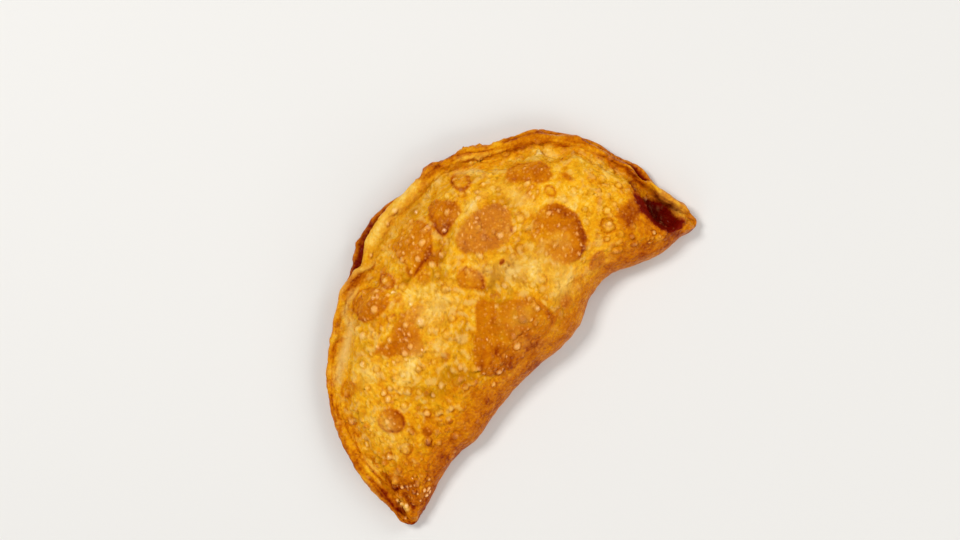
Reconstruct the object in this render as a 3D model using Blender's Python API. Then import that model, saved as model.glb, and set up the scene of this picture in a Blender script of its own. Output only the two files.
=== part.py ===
"""Cheburek: a round sheet of dough folded over its filling, sealed along a half-moon rim and fried.

The sheet is a grid. Its columns run from the left tip to the right one. Each column is one
closed section: from the seam across the underside, round the fold, over the puffed top and
back to the seam between the two lips of the rim. Lengths are in millimetres until the last
step, X from tip to tip, Y from the fold to the rim and Z up.
"""

import math

import bmesh
import bpy
import numpy as np

NAME = "cheburek"
MM = 0.001
WELD_DISTANCE = 0.0000002

# Mesh density: columns from tip to tip, bunched towards the tips, and rows in each span of
# the section.
COLUMNS = 96
BUNCHING = 0.35
SPAN_ROWS = (2, 1, 2, 2, 3, 3, 3, 2, 2, 2, 2, 2, 3, 3, 3, 2, 2, 1, 1, 1, 2, 1)

# The outermost edge of the sealed rim, from the left tip over the top to the right tip.
RIM_EDGE = (
    (-98.3, -2.0),
    (-101.0, -1.0),
    (-102.6, 3.5),
    (-101.7, 12.0),
    (-101.8, 23.0),
    (-99.4, 39.5),
    (-92.0, 59.0),
    (-80.0, 75.5),
    (-61.5, 90.5),
    (-43.0, 101.2),
    (-33.0, 104.8),
    (-18.5, 113.2),
    (-4.0, 115.2),
    (18.0, 112.3),
    (32.0, 113.0),
    (38.5, 110.4),
    (50.5, 105.2),
    (58.5, 98.6),
    (69.5, 93.0),
    (80.0, 87.0),
    (86.5, 78.5),
    (95.6, 61.0),
    (97.6, 50.0),
    (101.8, 37.5),
    (100.4, 26.0),
    (102.6, 6.0),
    (101.4, 0.6),
    (98.6, -1.4),
)

# The outermost line of the fold, from the left tip to the right tip.
FOLD_EDGE = (
    (-98.3, -2.0),
    (-95.5, -1.2),
    (-90.0, 0.0),
    (-74.0, 4.4),
    (-61.0, 6.3),
    (-48.0, 4.9),
    (-34.0, 7.2),
    (-2.0, 7.8),
    (14.0, 6.0),
    (26.0, 7.0),
    (38.0, 12.2),
    (52.0, 13.2),
    (66.0, 7.0),
    (80.0, 1.6),
    (90.0, 0.7),
    (95.5, -0.9),
    (98.6, -1.4),
)

# Values along the rim, as (share of the way from the left tip to the right tip, value).
PUFF_HEIGHT = (
    (0.00, 9.0), (0.05, 13.5), (0.12, 18.0), (0.22, 22.5), (0.36, 27.0), (0.52, 30.0),
    (0.66, 29.0), (0.78, 26.0), (0.88, 21.5), (0.94, 17.5), (0.975, 14.0), (1.00, 10.0),
)
SEAM_HEIGHT = (
    (0.00, 4.5), (0.08, 7.0), (0.30, 7.0), (0.50, 8.0), (0.70, 7.5), (0.90, 7.0), (1.00, 5.0),
)
RIM_WIDTH = (
    (0.00, 8.0), (0.05, 9.0), (0.14, 8.5), (0.22, 5.0), (0.34, 4.5), (0.40, 5.5),
    (0.46, 9.0), (0.56, 8.0), (0.64, 7.0), (0.74, 7.5), (0.88, 7.0), (1.00, 7.0),
)
# How far the crest of the rim and the floor of the valley inside it stand above the seam.
RIDGE_RISE = (
    (0.00, 3.0), (0.06, 5.5), (0.15, 5.0), (0.22, 3.6), (0.36, 3.8), (0.46, 5.6),
    (0.56, 5.2), (0.66, 5.0), (0.76, 5.6), (0.88, 5.4), (0.95, 7.0), (1.00, 3.5),
)
VALLEY_RISE = (
    (0.00, 2.0), (0.10, 2.8), (0.25, 1.6), (0.46, 3.4), (0.60, 2.4), (0.76, 2.2),
    (0.88, 1.8), (0.90, 0.6), (0.915, -2.0), (0.95, -2.2), (0.968, 0.6), (1.00, 2.2),
)
VALLEY_WIDTH = (
    (0.00, 0.2), (0.20, 2.5), (0.36, 3.0), (0.50, 1.5), (0.76, 2.0), (0.88, 1.5),
    (0.90, 5.0), (0.915, 12.0), (0.935, 11.0), (0.95, 7.0), (0.968, 1.0), (1.00, 0.2),
)
VALLEY_SLOPE = (
    (0.00, 14.0), (0.20, 20.0), (0.50, 24.0), (0.76, 22.0), (0.88, 12.0), (0.915, 3.5),
    (0.95, 3.0), (1.00, 6.0),
)
# How far the lower layer of dough reaches out past the upper one.
LOWER_REACH = (
    (0.00, -1.0), (0.33, -1.0), (0.38, 1.0), (0.415, 5.0), (0.45, 4.0), (0.50, 1.2),
    (0.54, -1.0), (0.72, -0.8), (0.755, 1.5), (0.79, 0.0), (0.82, 1.6), (0.86, 0.5),
    (0.89, 3.6), (0.925, -0.5), (1.00, -1.0),
)

# Section sizes in millimetres, each with the largest share of the section's width it takes.
FOLD_ROUNDING = (13.0, 0.15)
SHOULDER = (32.0, 0.20)
RIM_SHARE = 0.30
VALLEY_SHARE = 0.45
SLOPE_SHARE = 0.22
SEAM_DEPTH = (3.4, 0.12)
LIP_THICKNESS = (3.6, 0.30)
UNDERSIDE_RISE = (12.0, 0.18)
UNDERSIDE_EDGE = (30.0, 0.30)
TIP_ROUNDING = 16.0
TANGENT_WINDOW = 0.04

# Swells and hollows of the puffed top: X, Y, half length, half width, turn in degrees, height.
SWELLS = (
    (16.0, 76.0, 28.0, 8.0, 22.0, 1.8),
    (27.0, 70.0, 15.0, 11.0, 0.0, 1.2),
    (51.0, 45.0, 14.0, 16.0, 0.0, 1.6),
    (18.0, 91.0, 11.0, 9.0, 20.0, 1.6),
    (-2.0, 90.0, 14.0, 10.0, 10.0, 1.6),
    (-36.0, 88.0, 12.0, 9.0, 0.0, 1.8),
    (-39.0, 63.0, 12.0, 10.0, 0.0, 1.2),
    (-16.0, 26.0, 9.0, 9.0, 0.0, 1.4),
    (10.0, 30.0, 13.0, 12.0, 0.0, 1.0),
    (-70.0, 41.0, 8.0, 8.0, 0.0, 1.0),
    (29.0, 47.0, 13.0, 9.0, 15.0, 1.2),
    (-21.0, 96.0, 9.0, 5.0, 60.0, -1.2),
    (8.0, 48.0, 12.0, 6.0, -50.0, -1.4),
    (-3.0, 14.5, 24.0, 3.5, -3.0, -0.9),
)

# Fried dough: deep golden, with a thin film of oil.
CRUST_COLOUR = (0.72, 0.36, 0.05, 1.0)
CRUST_ROUGHNESS = 0.42


def hermite(start, end, start_slope, end_slope, part):
    """Points on the cubic between two points, with the slopes given at both ends."""
    square = part * part
    cube = square * part
    rise = 3.0 * square - 2.0 * cube
    return (
        start * (1.0 - rise)
        + end * rise
        + start_slope * (cube - 2.0 * square + part)
        + end_slope * (cube - square)
    )


def curve(knots, values, slopes, share):
    """The value at each share, on cubics between the knots."""
    left = np.clip(np.searchsorted(knots, share, side="right") - 1, 0, len(knots) - 2)
    step = knots[left + 1] - knots[left]
    part = (share - knots[left]) / step
    return hermite(values[left], values[left + 1], slopes[left] * step, slopes[left + 1] * step, part)


def along(keys, share):
    """The value at each share from tip to tip, eased through the keys and never past them."""
    knots, values = np.array(keys).T
    rates = np.diff(values) / np.diff(knots)
    before, after = rates[:-1], rates[1:]
    same_way = before * after > 0.0
    total = np.where(same_way, before + after, 1.0)
    inner = np.where(same_way, 2.0 * before * after / total, 0.0)
    return curve(knots, values, np.concatenate((rates[:1], inner, rates[-1:])), share)


def fitted(size, most):
    """A size in millimetres, eased down to the most that the section has room for."""
    return size * most / (size**4 + most**4) ** 0.25


def edge_points(points, share):
    """Plan points at each share of the length of a smooth line through the given points."""
    points = np.array(points)
    steps = np.hypot(*np.diff(points, axis=0).T)
    knots = np.concatenate(([0.0], np.cumsum(steps))) / steps.sum()
    share = np.clip(share, 0.0, 1.0)
    return np.stack([curve(knots, axis, np.gradient(axis, knots), share) for axis in points.T], -1)


def left_normal(points, share):
    """Unit vectors to the left of a line's direction of travel, smoothed over a window."""
    ahead = edge_points(points, share + TANGENT_WINDOW)
    behind = edge_points(points, share - TANGENT_WINDOW)
    direction = ahead - behind
    normal = np.stack((-direction[..., 1], direction[..., 0]), -1)
    return normal / np.linalg.norm(normal, axis=-1, keepdims=True)


def section_corners(share, width):
    """The points that steer each section: distance from the fold, and height."""
    room = width + 0.01
    top = along(PUFF_HEIGHT, share)
    seam = along(SEAM_HEIGHT, share)
    rim = fitted(along(RIM_WIDTH, share), RIM_SHARE * room)
    valley = fitted(along(VALLEY_WIDTH, share), VALLEY_SHARE * room)
    slope = fitted(along(VALLEY_SLOPE, share), SLOPE_SHARE * room)
    reach = fitted(1.0, 0.05 * room) * along(LOWER_REACH, share)
    rounding = fitted(FOLD_ROUNDING[0], FOLD_ROUNDING[1] * room)
    shoulder = fitted(SHOULDER[0], SHOULDER[1] * room)
    depth = fitted(SEAM_DEPTH[0], SEAM_DEPTH[1] * room)
    lip = fitted(LIP_THICKNESS[0], LIP_THICKNESS[1] * room)
    rise = fitted(UNDERSIDE_RISE[0], UNDERSIDE_RISE[1] * room)
    rest = fitted(UNDERSIDE_EDGE[0], UNDERSIDE_EDGE[1] * room)
    ridge = seam + along(RIDGE_RISE, share)
    floor = seam + along(VALLEY_RISE, share)
    flat = np.zeros_like(share)
    upper = width - np.maximum(reach, 0.0)
    lower = width + np.minimum(reach, 0.0)
    valley_out = upper - rim
    valley_in = valley_out - valley
    brow = valley_in - slope
    crest = 0.5 * (shoulder + brow)
    corners = (
        (upper - depth, seam),
        (lower - 0.40 * depth, seam - 0.22 * lip),
        (lower, seam - 0.60 * lip),
        (lower - 0.45 * depth, seam - 1.05 * lip),
        (width - rise, 0.35 * (seam - lip)),
        (width - rest, flat),
        (0.5 * (width - rest + 0.7 * shoulder), flat),
        (0.7 * shoulder, flat),
        (0.62 * rounding, 0.06 * top),
        (flat, 0.36 * top),
        (0.32 * rounding, 0.66 * top),
        (rounding, 0.86 * top),
        (shoulder, 0.975 * top),
        (crest, top),
        (0.35 * crest + 0.65 * brow, 0.985 * top),
        (brow, 0.93 * top),
        (valley_in - 0.42 * slope, 0.36 * floor + 0.64 * top),
        (valley_in, floor),
        (valley_out, floor),
        (upper - 0.62 * rim, 0.25 * floor + 0.75 * ridge),
        (upper - 0.30 * rim, ridge),
        (upper, seam + 0.55 * lip),
    )
    return np.stack([np.stack(corner, -1) for corner in corners], axis=1)


def section_rows(corners):
    """Each section as rows of points: a closed smooth line through its corners."""
    ahead = np.roll(corners, -1, axis=1) - corners
    length = np.linalg.norm(ahead, axis=-1, keepdims=True) + 1e-9
    behind_length = np.roll(length, 1, axis=1)
    behind = np.roll(ahead, 1, axis=1)
    tangent = behind / behind_length * length + ahead / length * behind_length
    tangent /= length + behind_length
    rows = []
    for span, count in enumerate(SPAN_ROWS):
        after = (span + 1) % len(SPAN_ROWS)
        for step in range(count):
            rows.append(
                hermite(
                    corners[:, span],
                    corners[:, after],
                    tangent[:, span] * length[:, span],
                    tangent[:, after] * length[:, span],
                    step / count,
                )
            )
    rows.append(corners[:, 0])
    return np.stack(rows, axis=1)


def top_weight():
    """How much of the top's relief each row takes: none below the fold or on the lips."""
    fold, shoulder, brow, valley = 9, 12, 16, 18
    keys = ((0, 0.0), (fold, 0.0), (shoulder, 1.0), (brow, 1.0), (valley, 0.0),
            (len(SPAN_ROWS), 0.0))
    spans, weights = np.array(keys).T
    places = [span + step / count for span, count in enumerate(SPAN_ROWS) for step in range(count)]
    return np.interp(places + [float(len(SPAN_ROWS))], spans, weights)


def relief(plan):
    """Height added to the top by its swells and hollows."""
    height = np.zeros(plan.shape[:-1])
    for x, y, length, width, turn, rise in SWELLS:
        away = plan - np.array((x, y))
        cosine = math.cos(math.radians(turn))
        sine = math.sin(math.radians(turn))
        lengthwise = (away[..., 0] * cosine + away[..., 1] * sine) / length
        crosswise = (away[..., 1] * cosine - away[..., 0] * sine) / width
        height += rise * np.clip(1.0 - lengthwise**2 - crosswise**2, 0.0, 1.0) ** 2
    return height


def crust_points(share):
    """The whole crust as a grid of points: one column for each share, one row for each step."""
    fold = edge_points(FOLD_EDGE, share)
    rim = edge_points(RIM_EDGE, share)
    width = np.linalg.norm(rim - fold, axis=-1)
    rows = section_rows(section_corners(share, width))
    part = (rows[..., 0] / np.maximum(width, 0.01)[:, None])[..., None]
    plan = hermite(
        fold[:, None],
        rim[:, None],
        (left_normal(FOLD_EDGE, share) * width[:, None])[:, None],
        (left_normal(RIM_EDGE, share) * width[:, None])[:, None],
        part,
    )
    height = np.maximum(rows[..., 1], 0.0) + top_weight() * relief(plan)
    middle = along(SEAM_HEIGHT, share)[:, None]
    end = np.clip(width / TIP_ROUNDING, 0.0, 1.0)[:, None]
    height = middle + (height - middle) * np.sqrt(end * (2.0 - end))
    return np.concatenate((plan, height[..., None]), axis=-1)


def crust_mesh():
    """A grid folded into the crust, sewn along the seam and closed at both tips."""
    rows = sum(SPAN_ROWS)
    step = np.linspace(0.0, 1.0, COLUMNS + 1)
    points = crust_points(step - BUNCHING * np.sin(2.0 * np.pi * step) / (2.0 * np.pi))
    low = points.reshape(-1, 3).min(axis=0)
    high = points.reshape(-1, 3).max(axis=0)
    points -= np.array(((low[0] + high[0]) / 2, (low[1] + high[1]) / 2, low[2]))
    sheet = bmesh.new()
    bmesh.ops.create_grid(sheet, x_segments=COLUMNS, y_segments=rows, size=0.5)
    for vertex in sheet.verts:
        column = round((vertex.co.x + 0.5) * COLUMNS)
        row = round((vertex.co.y + 0.5) * rows)
        vertex.co = points[column, row] * MM
    bmesh.ops.remove_doubles(sheet, verts=sheet.verts, dist=WELD_DISTANCE)
    bmesh.ops.recalc_face_normals(sheet, faces=sheet.faces)
    mesh = bpy.data.meshes.new(NAME)
    sheet.to_mesh(mesh)
    sheet.free()
    mesh.shade_smooth()
    return mesh


def crust_material():
    material = bpy.data.materials.new("fried dough")
    material.use_nodes = True
    shader = material.node_tree.nodes["Principled BSDF"]
    shader.inputs["Base Color"].default_value = CRUST_COLOUR
    shader.inputs["Roughness"].default_value = CRUST_ROUGHNESS
    shader.inputs["Metallic"].default_value = 0.0
    return material


def main():
    for obj in list(bpy.data.objects):
        bpy.data.objects.remove(obj, do_unlink=True)
    parts = bpy.data.collections.new(NAME)
    bpy.context.scene.collection.children.link(parts)
    mesh = crust_mesh()
    mesh.materials.append(crust_material())
    parts.objects.link(bpy.data.objects.new(NAME, mesh))


main()
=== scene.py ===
"""A whole fried cheburek: the folded dough with its sealed rim, fold pocket, blisters and bubbles.

Shapes are worked out in millimetres in the frame of the fold, X from the left tip to the right
one, Y from the fold to the rim and Z up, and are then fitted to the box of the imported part.
"""

import itertools
import math
from typing import NamedTuple

import bmesh
import bpy
import numpy as np
from bpy.props import FloatProperty, FloatVectorProperty, IntProperty, PointerProperty
from bpy.types import Operator, Panel, PropertyGroup
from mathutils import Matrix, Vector


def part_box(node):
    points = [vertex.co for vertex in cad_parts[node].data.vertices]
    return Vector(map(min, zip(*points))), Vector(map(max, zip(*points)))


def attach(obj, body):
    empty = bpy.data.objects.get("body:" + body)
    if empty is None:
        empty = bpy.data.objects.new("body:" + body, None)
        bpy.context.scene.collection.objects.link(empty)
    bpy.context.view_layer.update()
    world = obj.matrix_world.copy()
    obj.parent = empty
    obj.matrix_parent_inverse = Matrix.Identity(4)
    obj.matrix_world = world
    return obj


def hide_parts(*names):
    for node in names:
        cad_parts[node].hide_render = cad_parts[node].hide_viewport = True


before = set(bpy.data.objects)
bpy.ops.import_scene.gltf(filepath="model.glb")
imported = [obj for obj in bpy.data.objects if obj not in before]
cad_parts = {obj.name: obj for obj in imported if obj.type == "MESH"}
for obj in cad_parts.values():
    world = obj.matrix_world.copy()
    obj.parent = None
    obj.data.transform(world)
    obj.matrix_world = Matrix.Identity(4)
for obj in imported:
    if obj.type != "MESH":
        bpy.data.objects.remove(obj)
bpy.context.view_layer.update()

bl_info = {
    "name": "Cheburek",
    "version": (1, 0, 0),
    "blender": (4, 5, 0),
    "location": "View3D > Sidebar > Cheburek",
    "description": "Models a fried cheburek with its blistered crust, and a plain stage for it",
    "category": "Add Mesh",
}

NODE = "cheburek"
BODY = "root"
MM = 0.001
WELD_DISTANCE = 0.0000002


def linear(colour):
    """An sRGB hex colour as linear red, green, blue and alpha."""
    channels = [int(colour[place:place + 2], 16) / 255.0 for place in (1, 3, 5)]
    return (*[c / 12.92 if c <= 0.04045 else ((c + 0.055) / 1.055) ** 2.4 for c in channels], 1.0)


# The folded sheet ---------------------------------

# Mesh density: columns from tip to tip, bunched towards the tips, and rows in each span of
# the section, close together where the crust shows.
COLUMNS = 388
BUNCHING = 0.30
SPAN_ROWS = (4, 3, 3, 5, 6, 8, 8, 5, 7, 9, 10, 32, 35, 23, 13, 24, 30, 6, 7, 6, 6, 5)

# The outermost edge of the sealed rim, from the left tip over the top to the right tip.
RIM_EDGE = (
    (-98.3, -2), (-101, -1), (-102.6, 3.5), (-101.7, 12), (-101.8, 23), (-99.4, 39.5), (-92, 59),
    (-80, 75.5), (-61.5, 90.5), (-43, 101.2), (-33, 104.8), (-18.5, 113.2), (-4, 115.2), (18, 112.3),
    (32, 113), (38.5, 110.4), (50.5, 105.2), (58.5, 98.6), (69.5, 93), (80, 87), (86.5, 78.5), (95.6, 61),
    (97.6, 50), (101.8, 37.5), (100.4, 26), (102.6, 6), (101.4, 0.6), (98.6, -1.4),
)

# The outermost line of the fold, from the left tip to the right tip.
FOLD_EDGE = (
    (-98.3, -2), (-95.5, -1.2), (-90, 0), (-74, 4.4), (-61, 6.3), (-48, 4.9), (-34, 7.2), (-2, 7.8),
    (14, 6), (26, 7), (38, 12.2), (52, 13.2), (66, 7), (80, 1.6), (90, 0.7), (95.5, -0.9), (98.6, -1.4),
)

# Values along the rim, as (share of the way from the left tip to the right tip, value).
PUFF_HEIGHT = (
    (0, 9), (0.05, 13.5), (0.12, 18), (0.22, 22.5), (0.36, 27), (0.52, 30), (0.66, 29), (0.78, 26),
    (0.88, 21.5), (0.94, 17.5), (0.975, 14), (1, 10),
)
SEAM_HEIGHT = (
    (0, 4.5), (0.08, 7), (0.3, 7), (0.5, 8), (0.7, 7.5), (0.9, 7), (1, 5),
)
RIM_WIDTH = (
    (0, 8), (0.05, 9), (0.14, 8.5), (0.22, 5), (0.34, 4.5), (0.4, 5.5), (0.46, 9), (0.56, 8), (0.64, 7),
    (0.74, 7.5), (0.8, 5), (0.9, 4.2), (0.93, 6), (1, 7),
)
# How far the crest of the rim and the floor of the valley inside it stand above the seam.
RIDGE_RISE = (
    (0, 3), (0.06, 5.5), (0.15, 5), (0.22, 3.6), (0.36, 3.8), (0.46, 5.6), (0.56, 5.2), (0.66, 5),
    (0.76, 5.6), (0.88, 5.4), (0.95, 7), (1, 3.5),
)
VALLEY_RISE = (
    (0, 2), (0.1, 2.8), (0.25, 1.6), (0.46, 3.4), (0.6, 2.4), (0.76, 2.2), (0.88, 1.8), (0.9, 1.2),
    (0.92, -2), (0.95, -2.2), (0.968, 0.6), (1, 2.2),
)
VALLEY_WIDTH = (
    (0, 0.2), (0.2, 2.5), (0.36, 3), (0.5, 1.5), (0.76, 2), (0.89, 1.2), (0.905, 5), (0.92, 11),
    (0.935, 11), (0.95, 7), (0.968, 1), (1, 0.2),
)
VALLEY_SLOPE = (
    (0, 14), (0.2, 20), (0.5, 24), (0.76, 22), (0.88, 12), (0.915, 3.5), (0.95, 3), (1, 6),
)
# How far the lower layer of dough reaches out past the upper one.
LOWER_REACH = (
    (0, -1), (0.33, -1), (0.38, 1), (0.415, 5), (0.45, 4), (0.5, 1.2), (0.54, -1), (0.72, -0.8),
    (0.755, 1.5), (0.79, 0), (0.82, 1.6), (0.86, 1), (0.89, 4), (0.925, -0.5), (1, -1),
)

# Section sizes in millimetres, each with the largest share of the section's width it takes, and
# those shares for the rim, the valley inside it and the slope above that.
FOLD_ROUNDING = (13.0, 0.15)
SHOULDER = (32.0, 0.20)
SEAM_DEPTH = (3.4, 0.12)
LIP_THICKNESS = (3.6, 0.30)
UNDERSIDE_RISE = (12.0, 0.18)
UNDERSIDE_EDGE = (30.0, 0.30)
RIM_SHARE = 0.30
VALLEY_SHARE = 0.45
SLOPE_SHARE = 0.22
REACH_SHARE = 0.05

# The widths in millimetres under which the sheet rounds down to a tip and loses its relief.
TIP_ROUNDING = 16.0
TIP_FADE = 9.0

# The share of an edge line over which its direction is smoothed, to each side.
TANGENT_WINDOW = 0.04

# Places in the section, counted in spans from the seam: where its main bands begin.
LOWER_LIP_END = 2
UNDERSIDE_START = 4
FOLD_START = 8
FOLD_LINE = 9
TOP_START = 12
SLOPE_START = 15
VALLEY_START = 17
RIDGE_START = 18
RIDGE_CREST = 20
UPPER_LIP = 21
SEAM_END = len(SPAN_ROWS)

# Places before and after the whole section, for bands that go on to the seam.
BEFORE_SEAM = -1
AFTER_SEAM = SEAM_END + 1


def hermite(start, end, start_slope, end_slope, part):
    """Points on the cubic between two points, with the slopes given at both ends."""
    square = part * part
    cube = square * part
    rise = 3.0 * square - 2.0 * cube
    return (
        start * (1.0 - rise)
        + end * rise
        + start_slope * (cube - 2.0 * square + part)
        + end_slope * (cube - square)
    )


def curve(knots, values, slopes, share):
    """The value at each share, on cubics between the knots."""
    left = np.clip(np.searchsorted(knots, share, side="right") - 1, 0, len(knots) - 2)
    step = knots[left + 1] - knots[left]
    part = (share - knots[left]) / step
    return hermite(values[left], values[left + 1], slopes[left] * step, slopes[left + 1] * step, part)


def along(keys, share):
    """The value at each share from tip to tip, eased through the keys and never past them."""
    knots, values = np.array(keys).T
    rates = np.diff(values) / np.diff(knots)
    before, after = rates[:-1], rates[1:]
    same_way = before * after > 0.0
    total = np.where(same_way, before + after, 1.0)
    inner = np.where(same_way, 2.0 * before * after / total, 0.0)
    return curve(knots, values, np.concatenate((rates[:1], inner, rates[-1:])), share)


def fitted(size, most):
    """A size in millimetres, eased down to the most that the section has room for."""
    return size * most / (size**4 + most**4) ** 0.25


def edge_points(points, share):
    """Plan points at each share of the length of a smooth line through the given points."""
    points = np.array(points)
    steps = np.hypot(*np.diff(points, axis=0).T)
    knots = np.concatenate(([0.0], np.cumsum(steps))) / steps.sum()
    share = np.clip(share, 0.0, 1.0)
    return np.stack([curve(knots, axis, np.gradient(axis, knots), share) for axis in points.T], -1)


def left_normal(points, share):
    """Unit vectors to the left of a line's direction of travel, smoothed over a window."""
    ahead = edge_points(points, share + TANGENT_WINDOW)
    behind = edge_points(points, share - TANGENT_WINDOW)
    direction = ahead - behind
    normal = np.stack((-direction[..., 1], direction[..., 0]), -1)
    return normal / np.linalg.norm(normal, axis=-1, keepdims=True)


def section_corners(share, width):
    """The points that steer each section: distance from the fold, and height."""
    room = width + 0.01
    top = along(PUFF_HEIGHT, share)
    seam = along(SEAM_HEIGHT, share)
    rim = fitted(along(RIM_WIDTH, share), RIM_SHARE * room)
    valley = fitted(along(VALLEY_WIDTH, share), VALLEY_SHARE * room)
    slope = fitted(along(VALLEY_SLOPE, share), SLOPE_SHARE * room)
    reach = fitted(1.0, REACH_SHARE * room) * along(LOWER_REACH, share)
    sizes = (FOLD_ROUNDING, SHOULDER, SEAM_DEPTH, LIP_THICKNESS, UNDERSIDE_RISE, UNDERSIDE_EDGE)
    rounding, shoulder, depth, lip, rise, rest = [fitted(size, most * room) for size, most in sizes]
    ridge = seam + along(RIDGE_RISE, share)
    floor = seam + along(VALLEY_RISE, share)
    flat = np.zeros_like(share)
    upper = width - np.maximum(reach, 0.0)
    lower = width + np.minimum(reach, 0.0)
    valley_out = upper - rim
    valley_in = valley_out - valley
    brow = valley_in - slope
    crest = 0.5 * (shoulder + brow)
    corners = (
        (upper - depth, seam),
        (lower - 0.40 * depth, seam - 0.22 * lip),
        (lower, seam - 0.60 * lip),
        (lower - 0.45 * depth, seam - 1.05 * lip),
        (width - rise, 0.35 * (seam - lip)),
        (width - rest, flat),
        (0.5 * (width - rest + 0.7 * shoulder), flat),
        (0.7 * shoulder, flat),
        (0.62 * rounding, 0.06 * top),
        (flat, 0.36 * top),
        (0.32 * rounding, 0.66 * top),
        (rounding, 0.86 * top),
        (shoulder, 0.975 * top),
        (crest, top),
        (0.35 * crest + 0.65 * brow, 0.985 * top),
        (brow, 0.93 * top),
        (valley_in - 0.42 * slope, 0.36 * floor + 0.64 * top),
        (valley_in, floor),
        (valley_out, floor),
        (upper - 0.62 * rim, 0.25 * floor + 0.75 * ridge),
        (upper - 0.30 * rim, ridge),
        (upper, seam + 0.55 * lip),
    )
    return np.stack([np.stack(corner, -1) for corner in corners], axis=1)


def section_rows(corners):
    """Each section as rows of points: a closed smooth line through its corners."""
    ahead = np.roll(corners, -1, axis=1) - corners
    length = np.linalg.norm(ahead, axis=-1, keepdims=True) + 1e-9
    behind_length = np.roll(length, 1, axis=1)
    behind = np.roll(ahead, 1, axis=1)
    tangent = behind / behind_length * length + ahead / length * behind_length
    tangent /= length + behind_length
    rows = []
    for span, count in enumerate(SPAN_ROWS):
        after = (span + 1) % len(SPAN_ROWS)
        for step in range(count):
            rows.append(
                hermite(
                    corners[:, span],
                    corners[:, after],
                    tangent[:, span] * length[:, span],
                    tangent[:, after] * length[:, span],
                    step / count,
                )
            )
    rows.append(corners[:, 0])
    return np.stack(rows, axis=1)


def row_places():
    """Each row's place in the section, counted in spans from the seam."""
    places = [span + step / count for span, count in enumerate(SPAN_ROWS) for step in range(count)]
    return np.array([*places, float(len(SPAN_ROWS))])


def column_shares():
    """Each column's share of the way from tip to tip."""
    step = np.linspace(0.0, 1.0, COLUMNS + 1)
    return step - BUNCHING * np.sin(2.0 * np.pi * step) / (2.0 * np.pi)


def folded_sheet(share):
    """The plain folded sheet as a grid of points: one column for each share."""
    fold = edge_points(FOLD_EDGE, share)
    rim = edge_points(RIM_EDGE, share)
    width = np.linalg.norm(rim - fold, axis=-1)
    rows = section_rows(section_corners(share, width))
    part = (rows[..., 0] / np.maximum(width, 0.01)[:, None])[..., None]
    plan = hermite(
        fold[:, None],
        rim[:, None],
        (left_normal(FOLD_EDGE, share) * width[:, None])[:, None],
        (left_normal(RIM_EDGE, share) * width[:, None])[:, None],
        part,
    )
    middle = along(SEAM_HEIGHT, share)[:, None]
    end = np.clip(width / TIP_ROUNDING, 0.0, 1.0)[:, None]
    height = middle + (np.maximum(rows[..., 1], 0.0) - middle) * np.sqrt(end * (2.0 - end))
    return np.concatenate((plan, height[..., None]), axis=-1)


# Relief and browning ------------------------------

# The size of the table of random values, and the seed of the scattered bubbles.
LATTICE = 64
SCATTER_SEED = 11

# The points of an oval's outline, and the legs that a stroke is measured along.
OVAL_POINTS = 16
LINE_STEPS = 24

# What the mesh keeps of the crust's looks, for its material. The browning carries painted shade
# as well, paleness and creaminess painted highlights, and the olive tone painted shade in hollows.
FIELDS = ("browning", "paleness", "creaminess", "blistered", "olive_tone")

# The browning of plain dough, and the most that any dough has.
PLAIN_BROWNING = 0.40
MOST_BROWNING = 1.3

# Shares of the way along the rim: the two gaps between its layers, the lip outside the pocket,
# the crimped stretch and the frayed one, and how far the dark of a gap or a tip spreads.
LEFT_GAP = 0.40
RIGHT_GAP = 0.90
TIP_LIP = 0.89
CRIMP = 0.61
FRAY = 0.43
DARK_SPREAD = 0.05

# Browning of the bands of the section: how much of it there is, the places where it starts and
# is full, and those where it begins to fade and ends.
BROWN_BANDS = (
    (0.30, FOLD_START, FOLD_LINE, FOLD_LINE + 1, TOP_START),
    (0.19, VALLEY_START + 0.5, RIDGE_START + 1, UPPER_LIP, UPPER_LIP + 0.8),
    # The seam and the lower lip: browning, and painted shade under the upper layer.
    (0.34, BEFORE_SEAM, 0, LOWER_LIP_END, UNDERSIDE_START),
    (0.20, LOWER_LIP_END, UNDERSIDE_START, FOLD_START, FOLD_LINE),
)

# Ovals of plain dough, as X, Y, half length, half width and turn: one smooth, one more wrinkled.
SMOOTH_VALLEY = (6, 104, 34, 6, 0)
WRINKLED_MIDDLE = (2, 52, 46, 26, 0)

# The crust is rougher left of the first X, and gets there over the second distance.
ROUGH_LEFT = (60, 20)

# Swells and hollows of the puffed top: X, Y, half length, half width, turn in degrees, height.
SWELLS = (
    (16, 76, 28, 8, 22, 1.8), (29, 47, 13, 9, 15, 1.2), (-21, 96, 9, 5, 60, -1.2),
    (8, 48, 12, 6, -50, -1.4), (-3, 14.5, 24, 3.5, -3, -0.9),
)


class Blister(NamedTuple):
    """A patch of dough that came away from the layer below and browned.

    It has an outline, the browning of its middle, how high it rose, the extra browning of its edge,
    the width over which it fades, the direction in degrees in which it is darker and by how much,
    and how pale its haze is.
    """

    outline: tuple
    core: float
    rise: float = 0.0
    edge: float = 0.0
    soft: float = 2.0
    dark_side: float = 0.0
    lean: float = 0.0
    haze: float = 0.0


def direction(turn):
    """The cosine and sine of a turn in degrees."""
    return math.cos(math.radians(turn)), math.sin(math.radians(turn))


def oval_outline(x, y, length, width, turn=0.0):
    """A closed outline round an oval with the given half length, half width and turn in degrees."""
    cosine, sine = direction(turn)
    points = []
    for step in range(OVAL_POINTS):
        ahead = length * math.cos(step * math.tau / OVAL_POINTS)
        aside = width * math.sin(step * math.tau / OVAL_POINTS)
        points.append((x + ahead * cosine - aside * sine, y + ahead * sine + aside * cosine))
    return tuple(points)


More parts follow.
